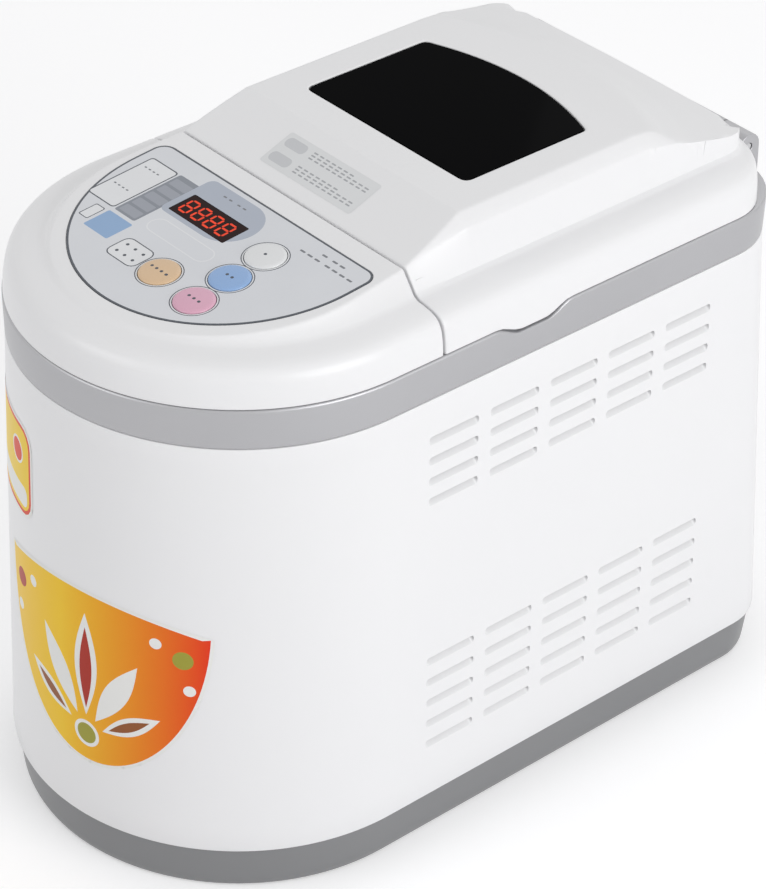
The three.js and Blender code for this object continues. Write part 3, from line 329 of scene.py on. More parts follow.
rubber = finish("foot_rubber", (0.020, 0.020, 0.021), (0.030, 0.029, 0.028), 0.62, 0.15, 900, 0.05)
for node, centre in (("foot_front_left", (-76, -50)), ("foot_front_right", (76, -50)),
                     ("foot_rear_left", (-80, 222)), ("foot_rear_right", (80, 222))):
    piece(node + "_pad", [turned([(0, -3), (7, -3), (8.4, -1), (9, 0.2), (9, 1.2), (0, 1.2)], centre)],
          "cabinet", [node], [rubber], None)


# ---------------- case wall with its louvres
# White ABS shell, drafted outwards to its foot. Nine rows of five louvres are cored through each side:
# each slot rises at 45 degrees as it goes in, so its sill shows and the inside does not.
CASE_TOP = 251.0
WALL = 2.5
SLOT, SLOT_HALF, SLOT_STRAIGHT = 4.2, 15.0, 13.4  # a louvre's height, half length, and that of its straight
SLOT_PITCH = 37.4  # from louvre to louvre along a row
slot_tops = np.sort(np.concatenate([231 - 11.1 * np.arange(4), 106 - 12.3 * np.arange(5)]))
slot_middles = SLOT_PITCH + SLOT_PITCH * np.arange(5)
slot_ends = np.array([-SLOT_HALF, -14.7, -14.2, -SLOT_STRAIGHT, 0, SLOT_STRAIGHT, 14.2, 14.7, SLOT_HALF])

side = np.concatenate([[0, 10], (slot_middles[:, None] + slot_ends).ravel(), [212]])
levels = np.sort(np.concatenate([[36, 46, 120, 140, 165, 183, 240], slot_tops, slot_tops - SLOT,
                                 slot_tops + 0.5, slot_tops - SLOT - 0.5, slot_tops - SLOT / 2]))
profile = np.concatenate([[(BASE_TOP + 0.3, -0.5), (BASE_TOP + 0.42, -0.14), (BASE_TOP + 0.8, 0)],
                          np.stack([levels, 0 * levels], axis=1),
                          [(CASE_TOP - 0.5, 0), (CASE_TOP - 0.12, -0.14), (CASE_TOP, -0.5)]])
heights, edge = profile[:, 0], profile[:, 1]
taper = DRAFT * (CASE_TOP - heights) / (CASE_TOP - BASE_TOP)
rear_at = REAR + taper * (DRAFT + LEAN) / DRAFT
corner_at = CORNER + (FOOT_CORNER - CORNER) * taper / DRAFT
outside = d_rings(taper + edge, rear_at + edge, heights, corner_at + edge, side=side, nose_steps=96)
along = outside[0, :, 1]
nearest = np.abs(along[:, None] - slot_middles).min(axis=1)
flank = (np.abs(outside[0, :, 0]) > HALF + DRAFT - 2) & (along > 1)
# the ends of a louvre are round: its upper edge eases down there, and its sill up
end_radius = SLOT_HALF - SLOT_STRAIGHT
end_run = np.maximum(nearest - SLOT_STRAIGHT, 0)
ease = np.where(flank & (nearest < SLOT_HALF + 0.01),
                end_radius - np.sqrt(np.maximum(end_radius ** 2 - end_run ** 2, 0)), 0)
outside[np.isin(np.round(heights, 3), np.round(slot_tops, 3)), :, 2] -= ease
outside[np.isin(np.round(heights, 3), np.round(slot_tops - SLOT, 3)), :, 2] += ease
# inside, each row is raised by the thickness of the wall, and less towards the rest of the flank
inside = d_rings(taper - WALL, rear_at - WALL, heights, corner_at - WALL, side=side, nose_steps=96)
lift = np.interp(along, [8, 20, 205, 216], [0, 1, 1, 0]) * flank
rise = WALL * np.interp(heights, [35, 48, 112, 130, 180, 192, 236, 246], [0, 1, 1, 0, 0, 1, 1, 0])
inside[:, :, 2] = outside[:, :, 2] + rise[:, None] * lift

middle_z = (heights[:-1] + heights[1:]) / 2
middle_y = (along + np.roll(along, -1)) / 2
in_row = ((middle_z[:, None] > slot_tops - SLOT) & (middle_z[:, None] < slot_tops)).any(axis=1)
in_column = (np.abs(middle_y[:, None] - slot_middles) < SLOT_HALF).any(axis=1) & flank & np.roll(flank, -1)


def edged(made, name, width, angle):
    """Breaks the edges sharper than an angle with a bevel, its width in millimetres."""
    bevel = made.modifiers.new(name, "BEVEL")
    bevel.width = width / 1000
    bevel.segments = 2
    bevel.limit_method = "ANGLE"
    bevel.angle_limit = math.radians(angle)


def moulded_wall(outer, inner, opened):
    """A wall with holes: outer cells, inner cells turned round, and a rim of quads between the two wherever a
    solid cell meets an open one or the wall's upper or lower end."""
    rows, columns = outer.shape[:2]
    o = np.arange(rows * columns).reshape(rows, columns)
    i = o + rows * columns
    solid = ~opened
    right = np.roll(o, -1, axis=1), np.roll(i, -1, axis=1)
    skin = np.stack([o[:-1], right[0][:-1], right[0][1:], o[1:]], axis=-1)[solid]
    lining = np.stack([i[1:], right[1][1:], right[1][:-1], i[:-1]], axis=-1)[solid]
    before = np.roll(solid, 1, axis=1)
    ends = np.stack([o[:-1], i[:-1], i[1:], o[1:]], axis=-1)
    tall = np.vstack([np.zeros((1, columns), bool), solid, np.zeros((1, columns), bool)])
    flats = np.stack([o, right[0], right[1], i], axis=-1)
    faces = np.concatenate([skin, lining, ends[before & opened], ends[solid & ~before][:, ::-1],
                            flats[tall[:-1] & ~tall[1:]], flats[~tall[:-1] & tall[1:]][:, ::-1]])
    return np.concatenate([outer.reshape(-1, 3), inner.reshape(-1, 3)]), faces.tolist(), 0


cabinet_white = finish("cabinet_white_abs", (0.86, 0.86, 0.868), (0.835, 0.835, 0.85), 0.27, 0.08, 1900,
                       0.012, 7)
openings = in_row[:, None] & in_column[None, :]
case = piece("case_moulding", [moulded_wall(outside, inside, openings)], "cabinet", ["case_shell"],
             [cabinet_white], 38)
edged(case, "lips", 0.22, 50)


# ---------------- silver band
# One ABS moulding painted silver, which closes the case and frames the mouth of the chamber. Its plate
# carries the control housing and the hinge; a notch in each side takes a finger tab of the lid.
BAND_TOP = 271.7
TAB = (62.0, 108.0)  # finger tab of the lid along each side
TAB_DEPTH, TAB_END = 5.0, 16.0  # its depth in the middle, and the length over which each end eases in
NOTCH_FOOT = 262  # height at which the notches in the band run out
MOUTH, MOUTH_CORNER = (-76, 76, 50, 236), 30  # mouth of the chamber, inside its raised rim
SEAT_HALF, SEAT_DEPTH = 76.8, 4.3  # seat of the hinge housing, sunk in the back of the plate


def tab_depth(y, gap=0.0):
    """Depth of the finger tab below the band's top: full in the middle, easing in and out as a smooth step
    over the length of each end. With a gap it is the notch that takes the tab."""
    t = np.clip(np.minimum(y - TAB[0] + gap, TAB[1] + gap - y) / TAB_END, 0, 1)
    return (TAB_DEPTH + gap) * (3 - 2 * t) * t * t


def within(points, loop):
    """True for each point in a closed loop: a ray from it to +X crosses the loop an odd number of times."""
    x, y = points[:, 0, None], points[:, 1, None]
    ax, ay = loop[:, 0], loop[:, 1]
    bx, by = np.roll(ax, -1), np.roll(ay, -1)
    run = np.where(by == ay, 1, by - ay)
    return (((ay > y) != (by > y)) & (x < ax + (y - ay) / run * (bx - ax))).sum(axis=1) % 2 == 1


def trimmed(outline, holes=(), spots=(), prints=(), height=0.0, flip=False, ink=0):
    """A sheet trimmed in plan: Delaunay triangles between an outline, its holes and any spots inside, each
    raised to height(x, y). A print is (loop, ink), and the last one that holds a triangle inks it."""
    loops = [np.asarray(loop, float)[:, :2] for loop in (outline, *holes, *(shape for shape, _ in prints))]
    sizes = np.array([len(loop) for loop in loops])
    starts = np.concatenate([[0], np.cumsum(sizes)[:-1]])
    edges = [(start + k, start + (k + 1) % size) for start, size in zip(starts, sizes) for k in range(size)]
    flat = np.concatenate(loops + ([np.asarray(spots, float)[:, :2]] if len(spots) else []))
    found = delaunay_2d_cdt([Vector(point) for point in flat.tolist()], edges, [], 0, 1e-5)
    corners = np.array([tuple(point) for point in found[0]])
    faces = np.array(found[2])
    middle = corners[faces].mean(axis=1)
    kept = within(middle, loops[0])
    for hole in loops[1:1 + len(holes)]:
        kept &= ~within(middle, hole)
    faces, middle = faces[kept], middle[kept]
    a, b, c = (corners[faces[:, k]] for k in range(3))
    wrong = ((b - a)[:, 0] * (c - a)[:, 1] < (b - a)[:, 1] * (c - a)[:, 0]) ^ flip
    faces[wrong] = faces[wrong][:, ::-1]
    inks = np.full(len(faces), ink)
    for shape, colour in prints:
        inks[within(middle, np.asarray(shape, float)[:, :2])] = colour
    return raised(corners, height(*corners.T) if callable(height) else height), faces.tolist(), inks.tolist()


def rounded(x0, x1, y0, y1, radius, steps=8):
    """A closed rectangle with quarter circles for corners, counter-clockwise."""
    turn = np.linspace(0, np.pi / 2, steps + 1)
    arc = radius * np.stack([np.cos(turn), np.sin(turn)], axis=1)
    quarter = np.array([[0, 1], [-1, 0]])
    centres = [(x1 - radius, y1 - radius), (x0 + radius, y1 - radius), (x0 + radius, y0 + radius),
               (x1 - radius, y0 + radius)]
    return np.concatenate([arc @ np.linalg.matrix_power(quarter, k) + at for k, at in enumerate(centres)])


def raised(loop, height):
    """A loop or spots in plan, set at one height or at a height each."""
    return np.column_stack([loop, height + 0 * loop[:, 0]])


def upright(loop, levels):
    """The same loop at several heights."""
    return np.stack([raised(loop, z) for z in levels])


silver_paint = finish("silver_paint", (0.47, 0.47, 0.485), (0.42, 0.42, 0.435), 0.33, 0.06, 5200, 0.012, 11,
                      metal=0.6)
band_line = eased([(-2.4, 251.3), (-0.5, 251.3), (0, 251.8), (0.2, 260), (0.45, 270.8), (-0.35, BAND_TOP),
                   (-2.8, BAND_TOP)], 0.6, 3)
band_side = np.unique(np.concatenate([np.linspace(0, 212, 14), np.linspace(TAB[0] - 2, TAB[1] + 2, 41)]))
band_turn = np.concatenate([np.linspace(0, 75, 11), [75.4, 75.9, 80, 85, 90]])
band_rings = d_rings(band_line[:, 0], REAR + band_line[:, 0], band_line[:, 1], side=band_side,
                     turn=np.radians(band_turn), nose_steps=96)
edge_x, edge_y = np.abs(band_rings[..., 0]), band_rings[..., 1]
low_by = np.where(edge_x > 104, tab_depth(edge_y, 0.8), 0)
low_by = np.where((edge_y > 250) & (edge_x < SEAT_HALF), SEAT_DEPTH, low_by)
band_rings[..., 2] -= low_by * np.clip((band_rings[..., 2] - NOTCH_FOOT) / (BAND_TOP - NOTCH_FOOT), 0, 1)
ledge_ring = band_rings[-1]
step_ring = ledge_ring.copy()
step_ring[:, 2] = np.where(ledge_ring[:, 1] > 250, ledge_ring[:, 2], BAND_TOP)
rim_loops = [rounded(MOUTH[0] - grow, MOUTH[1] + grow, MOUTH[2] - grow, MOUTH[3] + grow, MOUTH_CORNER + grow)
             for grow in (2, 2, 1.6, 0.4, 0, 0)]
rim_levels = (BAND_TOP, 273.3, 273.7, 273.7, 273.3, 263.7)
rim = np.stack([raised(loop, level) for loop, level in zip(rim_loops, rim_levels)])
# the hole under the control housing, and the seat of the hinge
well = d_rings([-16], [24], [BAND_TOP], corner=[10], side=[0, 8], nose_steps=48)[0]
seat_end = SEAT_HALF + 0.5
hinge_seat = np.array([(seat_end, 248.2), (-seat_end, 248.2), (-seat_end, 257.0), (seat_end, 257.0)])
plate = trimmed(step_ring, [rim_loops[0], well], prints=[(hinge_seat, 0)], height=BAND_TOP)
plate[0][(plate[0][:, 1] > 249) & (np.abs(plate[0][:, 0]) < SEAT_HALF + 0.1), 2] = BAND_TOP - SEAT_DEPTH
piece("silver_band", [patch(band_rings), patch(np.stack([ledge_ring, step_ring])), plate, patch(rim),
                      patch(upright(well[:, :2], (BAND_TOP, BAND_TOP - 3)), flip=True)],
      "cabinet", ["top_frame"], [silver_paint], 40)


# ---------------- lid
# White ABS moulding: a skirt that sweeps up from the band, a crown with a crisp ridge on three sides, and a
# shallow hollow scooped out behind the window. It is open underneath, where the steel liner closes it.
SEAM = 30.5
SEAM_GAP = 1.3
LID_START = SEAM + SEAM_GAP / 2
LID_REAR, REAR_RISE = 247.5, 1.68  # foot of the back slope, and how steep the slope is
LID_CORNER = 30
LID_TOP = 45.5  # height of the crown over the band
LEDGE, CEILING = (39.8, 42.0), 27.0  # ledge that carries the window, and the underside of the moulding
PANEL_RISE = 29.5
PANEL_SLOPE = 0.09
EDGE = 0.9  # radius of the edges along the seam
EDGE_STEPS = np.array([0, 0.1, 0.3, 0.6, 0.9])  # distances past the seam at which they are drawn
SKIRT_TOP = 20.6
# the skirt as (inset, height over the band), then shoulder and ridge as (half width, height) at each CROWN_Y
SKIRT = np.array([(0.6, 0.3), (0.1, 0.45), (0, 1.0), (0.6, 8), (1.9, 14), (4.5, 17.6), (8.5, 19.3), (13, 20),
                  (18.5, SKIRT_TOP), (20.9, 21.9)])
CROWN_Y = [SEAM, 66, 177, 200, 225, LID_REAR + 4]
SHOULDER = np.array([(79.4, 32.2), (81, 40), (81, 40), (85, 38), (86.5, 34), (86.5, 32)])
RIDGE = np.array([(75, 38), (75, LID_TOP), (75, LID_TOP), (76, 43.5), (77, 42), (77, 41)])
# the roof line as (run, height), and the scoop as (distance from its axis, height)
ROOF = np.array([(SEAM, PANEL_RISE + PANEL_SLOPE * SEAM), (66, LID_TOP), (177, LID_TOP), (186, 44.7),
                 (212, 41.4), (236, 39.5), (241.3, 31), (LID_REAR, SKIRT_TOP)])
SCOOP = np.array([(154, 51.4), (164, 45.8), (174, 40.2), (186, 36), (201, 32.5), (216, 30.2), (236, 28.4)])
SCOOP_AXIS = 40  # behind the nose centre
SLOPE_OUT, SLOPE_UP = 87, 22  # foot of the side slopes: half width and height


def soft_least(*heights, soft=0.35):
    """The least of several heights, its creases rounded: minus the log of the summed exponents."""
    stack = np.stack(heights)
    least = stack.min(axis=0)
    return least - soft * np.log(np.exp((least - stack) / soft).sum(axis=0))


def turned_down(past):
    """How far a quarter round lowers the surface at a distance past the seam: nothing beyond its radius."""
    return EDGE - np.sqrt(EDGE ** 2 - np.clip(EDGE - past, 0, EDGE) ** 2)


def crown_height(x, y):
    """Height of the lid's top over the band: the least of the side slopes (foot to shoulder to ridge), the
    roof line from front to back, and the scoop about its upright axis."""
    out = np.abs(x)
    sx, sh = (np.interp(y, CROWN_Y, SHOULDER[:, k]) for k in (0, 1))
    rx, rh = (np.interp(y, CROWN_Y, RIDGE[:, k]) for k in (0, 1))
    low = SLOPE_UP + (sh - SLOPE_UP) * (SLOPE_OUT - out) / (SLOPE_OUT - sx)
    high = sh + (rh - sh) * (sx - out) / (sx - rx)
    roof = np.interp(y, *ROOF.T)
    away = np.hypot(x, y - SCOOP_AXIS)
    scoop = np.where(away < SCOOP[0, 0], 80, np.interp(away, *SCOOP.T))
    return soft_least(low, high, soft_least(roof, scoop, soft=0.7)) - turned_down(y - LID_START)


def lid_sections(profile, rear, side, steps=3):
    """Open loops up the right side, round the back and down the left, one for each (inset, height) of a skirt
    profile with its corners eased. The back slopes forward over SKIRT_TOP, and the corner radius shrinks as
    the loop is taken in."""
    inset, height = eased(profile, 20, steps).T
    sloping = np.where(height < SKIRT_TOP, rear, LID_REAR + (SKIRT_TOP - height) / REAR_RISE)
    corner = np.maximum(LID_CORNER - 0.62 * inset, 10)
    return d_rings(-inset, np.minimum(rear, sloping), height, corner, side=side, nose_steps=8)[:, :-7]


def window_loop(grow):
    """The window's outline, grown: straight front and sides, tight corners, a back bowed as a parabola."""
    half, front, rear = 56.5 + grow, 87 - grow, 163 + grow
    radius = 4.5 + max(grow, -3)

    def bend(a, b, c, t=np.linspace(0, 1, 11)[:, None]):
        """A quadratic curve from a to c, drawn towards b."""
        return (1 - t) ** 2 * np.array(a) + 2 * t * (1 - t) * np.array(b) + t ** 2 * np.array(c)
    right = bend((half - radius, front), (half, front), (half, front + radius))
    rise = np.column_stack([np.full(15, half), np.linspace(front + radius, rear - 3, 15)])[1:-1]
    corner = bend((half, rear - 3), (half, rear), (half - 4, rear + 1))
    bow_steps = np.linspace(0, 1, 41)[1:-1, None]
    bow = bend((half - 4, rear + 1), (0, rear + 21), (4 - half, rear + 1), bow_steps)
    sill = np.column_stack([np.linspace(radius - half, half - radius, 21), np.full(21, front)])[1:-1]
    mirrored = [part[::-1] * [-1, 1] for part in (corner, rise, right)]
    return np.concatenate([right, rise, corner, bow, *mirrored, sill])


def with_tab(loops):
    """Lid loops with the finger tabs drawn down below the band's top, fading out by 8 mm over it."""
    out, y, z = np.moveaxis(loops, -1, 0)
    loops[..., 2] -= np.where(np.abs(out) > 100, tab_depth(y), 0) * np.clip((8 - z) / 7.5, 0, 1)
    return loops


lid_side = np.unique(np.concatenate([LID_START + EDGE_STEPS, np.linspace(34, 212, 46)]))
skirt = lid_sections(SKIRT, LID_REAR, lid_side)
skirt_x, at_seam = skirt[..., 0].copy(), turned_down(skirt[..., 1] - LID_START)
skirt[..., 0] -= np.sign(skirt_x) * at_seam * (np.abs(skirt_x) > 100)
skirt[..., 2] -= at_seam * (np.abs(skirt_x) < 106)
with_tab(skirt)
foot_loop = lid_sections([(20.9, 21.9), (21.4, 22.4)], LID_REAR, lid_side, 1)[-1]
foot_loop[:, 2] = crown_height(*foot_loop[:, :2].T)

# spots in plan for the crown: rows and columns crowded at its creases, and arcs along the scoop's brink
rows = np.unique(np.concatenate([LID_START + EDGE_STEPS, LID_START + np.array([1.6, 3]), np.arange(36, 62, 4),
                                 np.arange(63, 70, 0.75), np.arange(72, 172, 4), np.arange(174, 235, 2.5),
                                 np.arange(235, 246.6, 0.8)]))
crease, crease_h = (np.interp(rows, CROWN_Y, SHOULDER[:, k])[:, None] for k in (0, 1))
ridge_x, ridge_h = (np.interp(rows, CROWN_Y, RIDGE[:, k])[:, None] for k in (0, 1))
meet = np.clip((np.interp(rows, *ROOF.T)[:, None] - crease_h) / (ridge_h - crease_h), 0, 1)
top_x = crease + (ridge_x - crease) * meet
columns = np.concatenate([np.tile(np.arange(0, 72, 4.0), (len(rows), 1)),
                          top_x + np.array([-3, -1.6, -0.9, -0.4, 0, 0.4, 0.9]),
                          top_x * (1 - np.array([0.3, 0.6])) + crease * np.array([0.3, 0.6]),
                          crease + np.array([-0.4, 0, 0.5, 1.2]),
                          crease + (86.4 - crease) * np.array([0.35, 0.6, 0.85, 1])], axis=1)
grid = np.stack([columns, np.repeat(rows[:, None], columns.shape[1], axis=1)], axis=-1).reshape(-1, 2)
sweep = np.radians(np.linspace(40, 140, 81))
arcs = [np.column_stack([r * np.cos(sweep), SCOOP_AXIS + r * np.sin(sweep)])
        for r in (161.5, 162.6, 163.5, 164.4, 165.6)]
grid = np.concatenate([grid, grid * [-1, 1], *arcs])
crown_foot = lid_sections([(21.4, 22), (21.8, 22.4)], 246.4, lid_side, 1)[-1]
grid = grid[within(grid, crown_foot) & ~within(grid, window_loop(2.2))]
top_sheet = trimmed(foot_loop, [window_loop(1.5)], grid, height=crown_height)
brink = window_loop(1.5)
wells = [raised(brink, crown_height(*brink.T))]
wells += [raised(window_loop(grow), level)
          for grow, level in ((0.9, LID_TOP - 0.06), (0.5, LID_TOP - 0.3), (0.35, LID_TOP - 0.8),
                              (0.3, LEDGE[1]), (-5, LEDGE[1]), (-5, LEDGE[0]), (4, LEDGE[0]), (4, 43.0))]
inner_skirt = with_tab(lid_sections([(3.1, 0.3), (3.1, 8), (5, 14.5), (8.5, 16.8), (14, 17.4), (23, 18.8),
                                     (24, CEILING)], LID_REAR - WALL, lid_side + 2.5, 1))
top_front = top_sheet[0][top_sheet[0][:, 1] < LID_START + 1e-4]
top_front = top_front[np.argsort(-top_front[:, 0])]
front_face = np.concatenate([skirt[:, 0], foot_loop[:1], top_front[1:-1], foot_loop[-1:], skirt[::-1, -1]])


def over_band(points):
    """Heights over the band's top become workshop heights."""
    return np.asarray(points, float) + [0, 0, BAND_TOP]


piece("lid_moulding", [patch(skirt, around=False), patch(np.stack([skirt[-1], foot_loop]), around=False),
                       top_sheet, patch(np.stack(wells), flip=True),
                       patch(inner_skirt, around=False, flip=True),
                       trimmed(inner_skirt[-1], [window_loop(4)], height=CEILING, flip=True),
                       patch(upright(window_loop(4), (CEILING, LEDGE[0])), flip=True),
                       patch(np.stack([inner_skirt[0], skirt[0]]), around=False), cap(front_face)],
      "lid", ["lid_shell"], [cabinet_white], 32, over_band)


# ---------------- control housing
# White ABS front half of the upper skin: the same skirt swept round the nose, closed by a sloping plate that
# is sunk for the panel film and bored for the four keys and the display.
HOUSING_END = SEAM - SEAM_GAP / 2
TILT = math.atan(PANEL_SLOPE)
KEYS = {"white": (29.2, -8), "blue": (31, -30), "pink": (33.2, -52), "tan": (5, -49.5)}
KEY_RADIUS = 9.8
DISPLAY = (-32.2, 6.8, -15.0, 0.4)
SINK, PLATE_UNDER = -0.7, -4  # levels under the panel's slope
UPPER_FOOT, UPPER_RISE = (21, 22), 1.35  # inset and height where the skirt's upper slope starts, and its rise


def on_panel(points):
    """From the panel's own frame, over the nose centre and square to its slope, to workshop millimetres."""
    x, y, z = np.asarray(points, float).T
    return np.stack([x, y * np.cos(TILT) - z * np.sin(TILT),
                     BAND_TOP + PANEL_RISE + y * np.sin(TILT) + z * np.cos(TILT)], axis=1)


def nose_loop(inset):
    """An open loop down the left side, round the nose and up the right side, taken in by an inset that may
    change along it; with its run behind the nose centre and the sine of its turn round it."""
    side = np.unique(np.concatenate([HOUSING_END - EDGE_STEPS, np.linspace(0, 28, 10)]))[1:]
    around = np.linspace(np.pi, 2 * np.pi, 97)
    sense = np.concatenate([-np.ones(len(side)), np.cos(around), np.ones(len(side))])
    run = np.concatenate([side[::-1], 0 * around, side])
    sine = np.concatenate([0 * side, np.sin(around), 0 * side])
    return np.stack([(HALF - inset) * sense, run + (HALF - inset) * sine], axis=-1), run, sine


# the brow is the inset at which the skirt's upper slope comes up to the sloping plate
run, sine = nose_loop(0.0)[1:]
climb = PANEL_RISE + PANEL_SLOPE * (HALF * sine + run) - UPPER_FOOT[1] + UPPER_RISE * UPPER_FOOT[0]
brow = np.maximum(climb / (UPPER_RISE + PANEL_SLOPE * sine), 20.8)
skirt_inset = np.append(SKIRT[3:, 0], [UPPER_FOOT[0], UPPER_FOOT[0] + 22])
skirt_height = np.append(SKIRT[3:, 1], [UPPER_FOOT[1], UPPER_FOOT[1] + 22 * UPPER_RISE])
housing = [raised(nose_loop(np.minimum(inset, brow - 1.4))[0],
                  np.minimum(level, np.interp(brow - 1.4, skirt_inset, skirt_height)))
           for inset, level in eased(SKIRT, 20, 3)]
for back in (1.0, 0.45, 0.1, -0.4, -1.1):
    loop = nose_loop(brow - back)[0]
    slope = PANEL_RISE + PANEL_SLOPE * loop[:, 1]
    wall_z = np.interp(brow - back, skirt_inset, skirt_height)
    housing.append(raised(loop, soft_least(slope, wall_z, soft=0.3) if back > -1 else slope))
housing = np.stack(housing)
at_seam = turned_down(HOUSING_END - housing[..., 1])
housing[..., 0] -= np.sign(housing[..., 0]) * at_seam * (np.abs(housing[..., 0]) > 100)
housing[..., 2] -= at_seam * (np.abs(housing[..., 0]) < 106)


def film_loop(grow):
    """The panel film's outline, grown: half an ellipse round the nose and a flat back with small corners."""
    half, corner = 77 + grow, 7 + grow
    around = np.linspace(np.pi, 2 * np.pi, 65)
    turn = np.linspace(0, np.pi / 2, 9)[:, None]
    nose = np.column_stack([half * np.cos(around), (79 + grow) * np.sin(around)])
    right = np.array([half - corner, 18 + grow - corner]) + corner * np.hstack([np.cos(turn), np.sin(turn)])
    return np.concatenate([nose, right, right[::-1] * [-1, 1]])


def disc(centre, radius, steps=40):
    """A closed circle."""
    angle = np.arange(steps) * 2 * np.pi / steps
    return np.column_stack([centre[0] + radius * np.cos(angle), centre[1] + radius * np.sin(angle)])


def bored(loops, levels, ink=0):
    """Walls that face inwards, one round each hole."""
    return [patch(upright(loop, levels), flip=True, ink=ink) for loop in loops]


def plate_height(x, y):
    """The sloping plate, turned down over the last millimetre before the seam."""
    return PANEL_RISE + PANEL_SLOPE * y - turned_down(HOUSING_END - y)


panel_holes = [disc(at, KEY_RADIUS + 0.35) for at in KEYS.values()]
panel_holes.append(rounded(DISPLAY[0] - 0.3, DISPLAY[1] + 0.3, DISPLAY[2] - 0.3, DISPLAY[3] + 0.3, 0.8, 4))
plate_spots = np.array([(x, y) for x in np.arange(-78, 79, 6.0) for y in HOUSING_END - EDGE_STEPS[1:]])
sink_in_plan = on_panel(raised(film_loop(0.3), 0))
lining = np.stack([raised(nose_loop(inset)[0], level)
                   for inset, level in ((3.1, 0.3), (3.1, 8), (5, 14.5), (14, 17.4))])
housing_face = np.concatenate([housing[:, -1], housing[-1:, 0], housing[::-1, 0][1:]])
piece("housing_sink", [*bored([film_loop(0.3)], (0, SINK)), trimmed(film_loop(0.3), panel_holes, height=SINK),
                       *bored(panel_holes, (SINK, PLATE_UNDER))],
      "cabinet", (), [cabinet_white], 35, on_panel)
piece("housing_moulding", [patch(housing, around=False),
                           trimmed(housing[-1], [sink_in_plan], plate_spots, height=plate_height),
                           patch(lining, around=False, flip=True),
                           patch(np.stack([lining[0], housing[0]]), around=False), cap(housing_face)],
      "cabinet", ["control_housing"], [cabinet_white], 32, over_band)


# ---------------- panel film
# Polyester film, printed on its back in greys and blues and glued into the sink of the housing. Its blocks,
# rings and dots are plain markers for the keys and the display.
def inked(name, tones, gloss, mirror=0.3):
    """One material for each printed tone."""
    return [finish(f"{name}_{number}", tone, tuple(0.93 * value for value in tone), gloss, 0.06, 2400, 0.006,
                   30, mirror=mirror) for number, tone in enumerate(tones)]


def box_print(x0, x1, y0, y1, radius=1.2):
    """The outline of a printed block: a rectangle whose corners are short quarter circles."""
    return rounded(x0, x1, y0, y1, radius, 4)


def dashes(starts, y, wide, tall, radius, ink):
    """A row of short printed dashes."""
    return [(box_print(x, x + wide, y, y + tall, radius), ink) for x in starts]


# the block round the display: the left corners of a rectangle and the right side of a disc
zone_disc = disc((-4, -1.75), 16.25)
zone = np.concatenate([rounded(-36.4, 0, -18, 14.5, 4)[9:27], zone_disc[30:], zone_disc[:11]])
film_prints = [(film_loop(-1.0), 0), (box_print(-71, -51, -33, 6, 2), 4),
               (box_print(-70.3, -51.7, -32.3, 5.3, 1.6), 1), (box_print(-50, -35.2, -33, 6), 2)]
film_prints += [(box_print(-48.6, -36.6, y, y + 5.4, 0.6), 6) for y in (-31.4, -24.2, -17.0, -9.8, -2.6)]
film_prints += [(box_print(-50.5, -33, -50.5, -35.2, 1), 3), (box_print(-59, -52.4, -47, -36, 1), 4),
                (box_print(-58.5, -52.9, -46.5, -36.5, 0.8), 1), (zone, 7),
                (box_print(-30, 13.5, -32.6, -21.6, 5.3), 1), (box_print(-29.4, 12.9, -32, -22.2, 4.8), 0),
                (box_print(-27, -6.5, -57, -41.5, 4), 4), (box_print(-26.4, -7.1, -56.4, -42.1, 3.5), 1)]
film_prints += [(disc((x, y), 0.9, 12), 4) for x in (-22.5, -16.8, -11) for y in (-52.4, -46.2)]
film_prints += [(disc(at, radius), ink) for radius, ink in ((KEY_RADIUS + 1.5, 4), (KEY_RADIUS + 1, 1))
                for at in KEYS.values()]
film_prints += dashes((36, 41, 46, 53, 58, 63, 68), 6, 3.4, 1.2, 0.5, 5)
film_prints += dashes((46, 53, 58), 10.6, 3.4, 1.2, 0.5, 5)
film_prints += dashes((-22, -18, -12, -8), 8.6, 2.2, 1.0, 0.4, 5)
for y in (-2, -20):
    film_prints += dashes((-67.5, -64.5, -61.5, -58.5), y, 1.5, 0.9, 0.3, 5)
piece("panel_film", [trimmed(film_loop(0), panel_holes, prints=film_prints, height=0.2, ink=4),
                     patch(upright(film_loop(0), (-0.4, 0.2)), ink=4), *bored(panel_holes, (0.2, -0.4), 4)],
      "cabinet", ["panel_overlay"],
      inked("film_ink", [(0.74, 0.755, 0.79), (0.82, 0.83, 0.85), (0.27, 0.29, 0.33), (0.30, 0.45, 0.68),
                         (0.10, 0.11, 0.13), (0.22, 0.23, 0.25), (0.36, 0.38, 0.43), (0.46, 0.50, 0.58)],
            0.22), 30, on_panel)


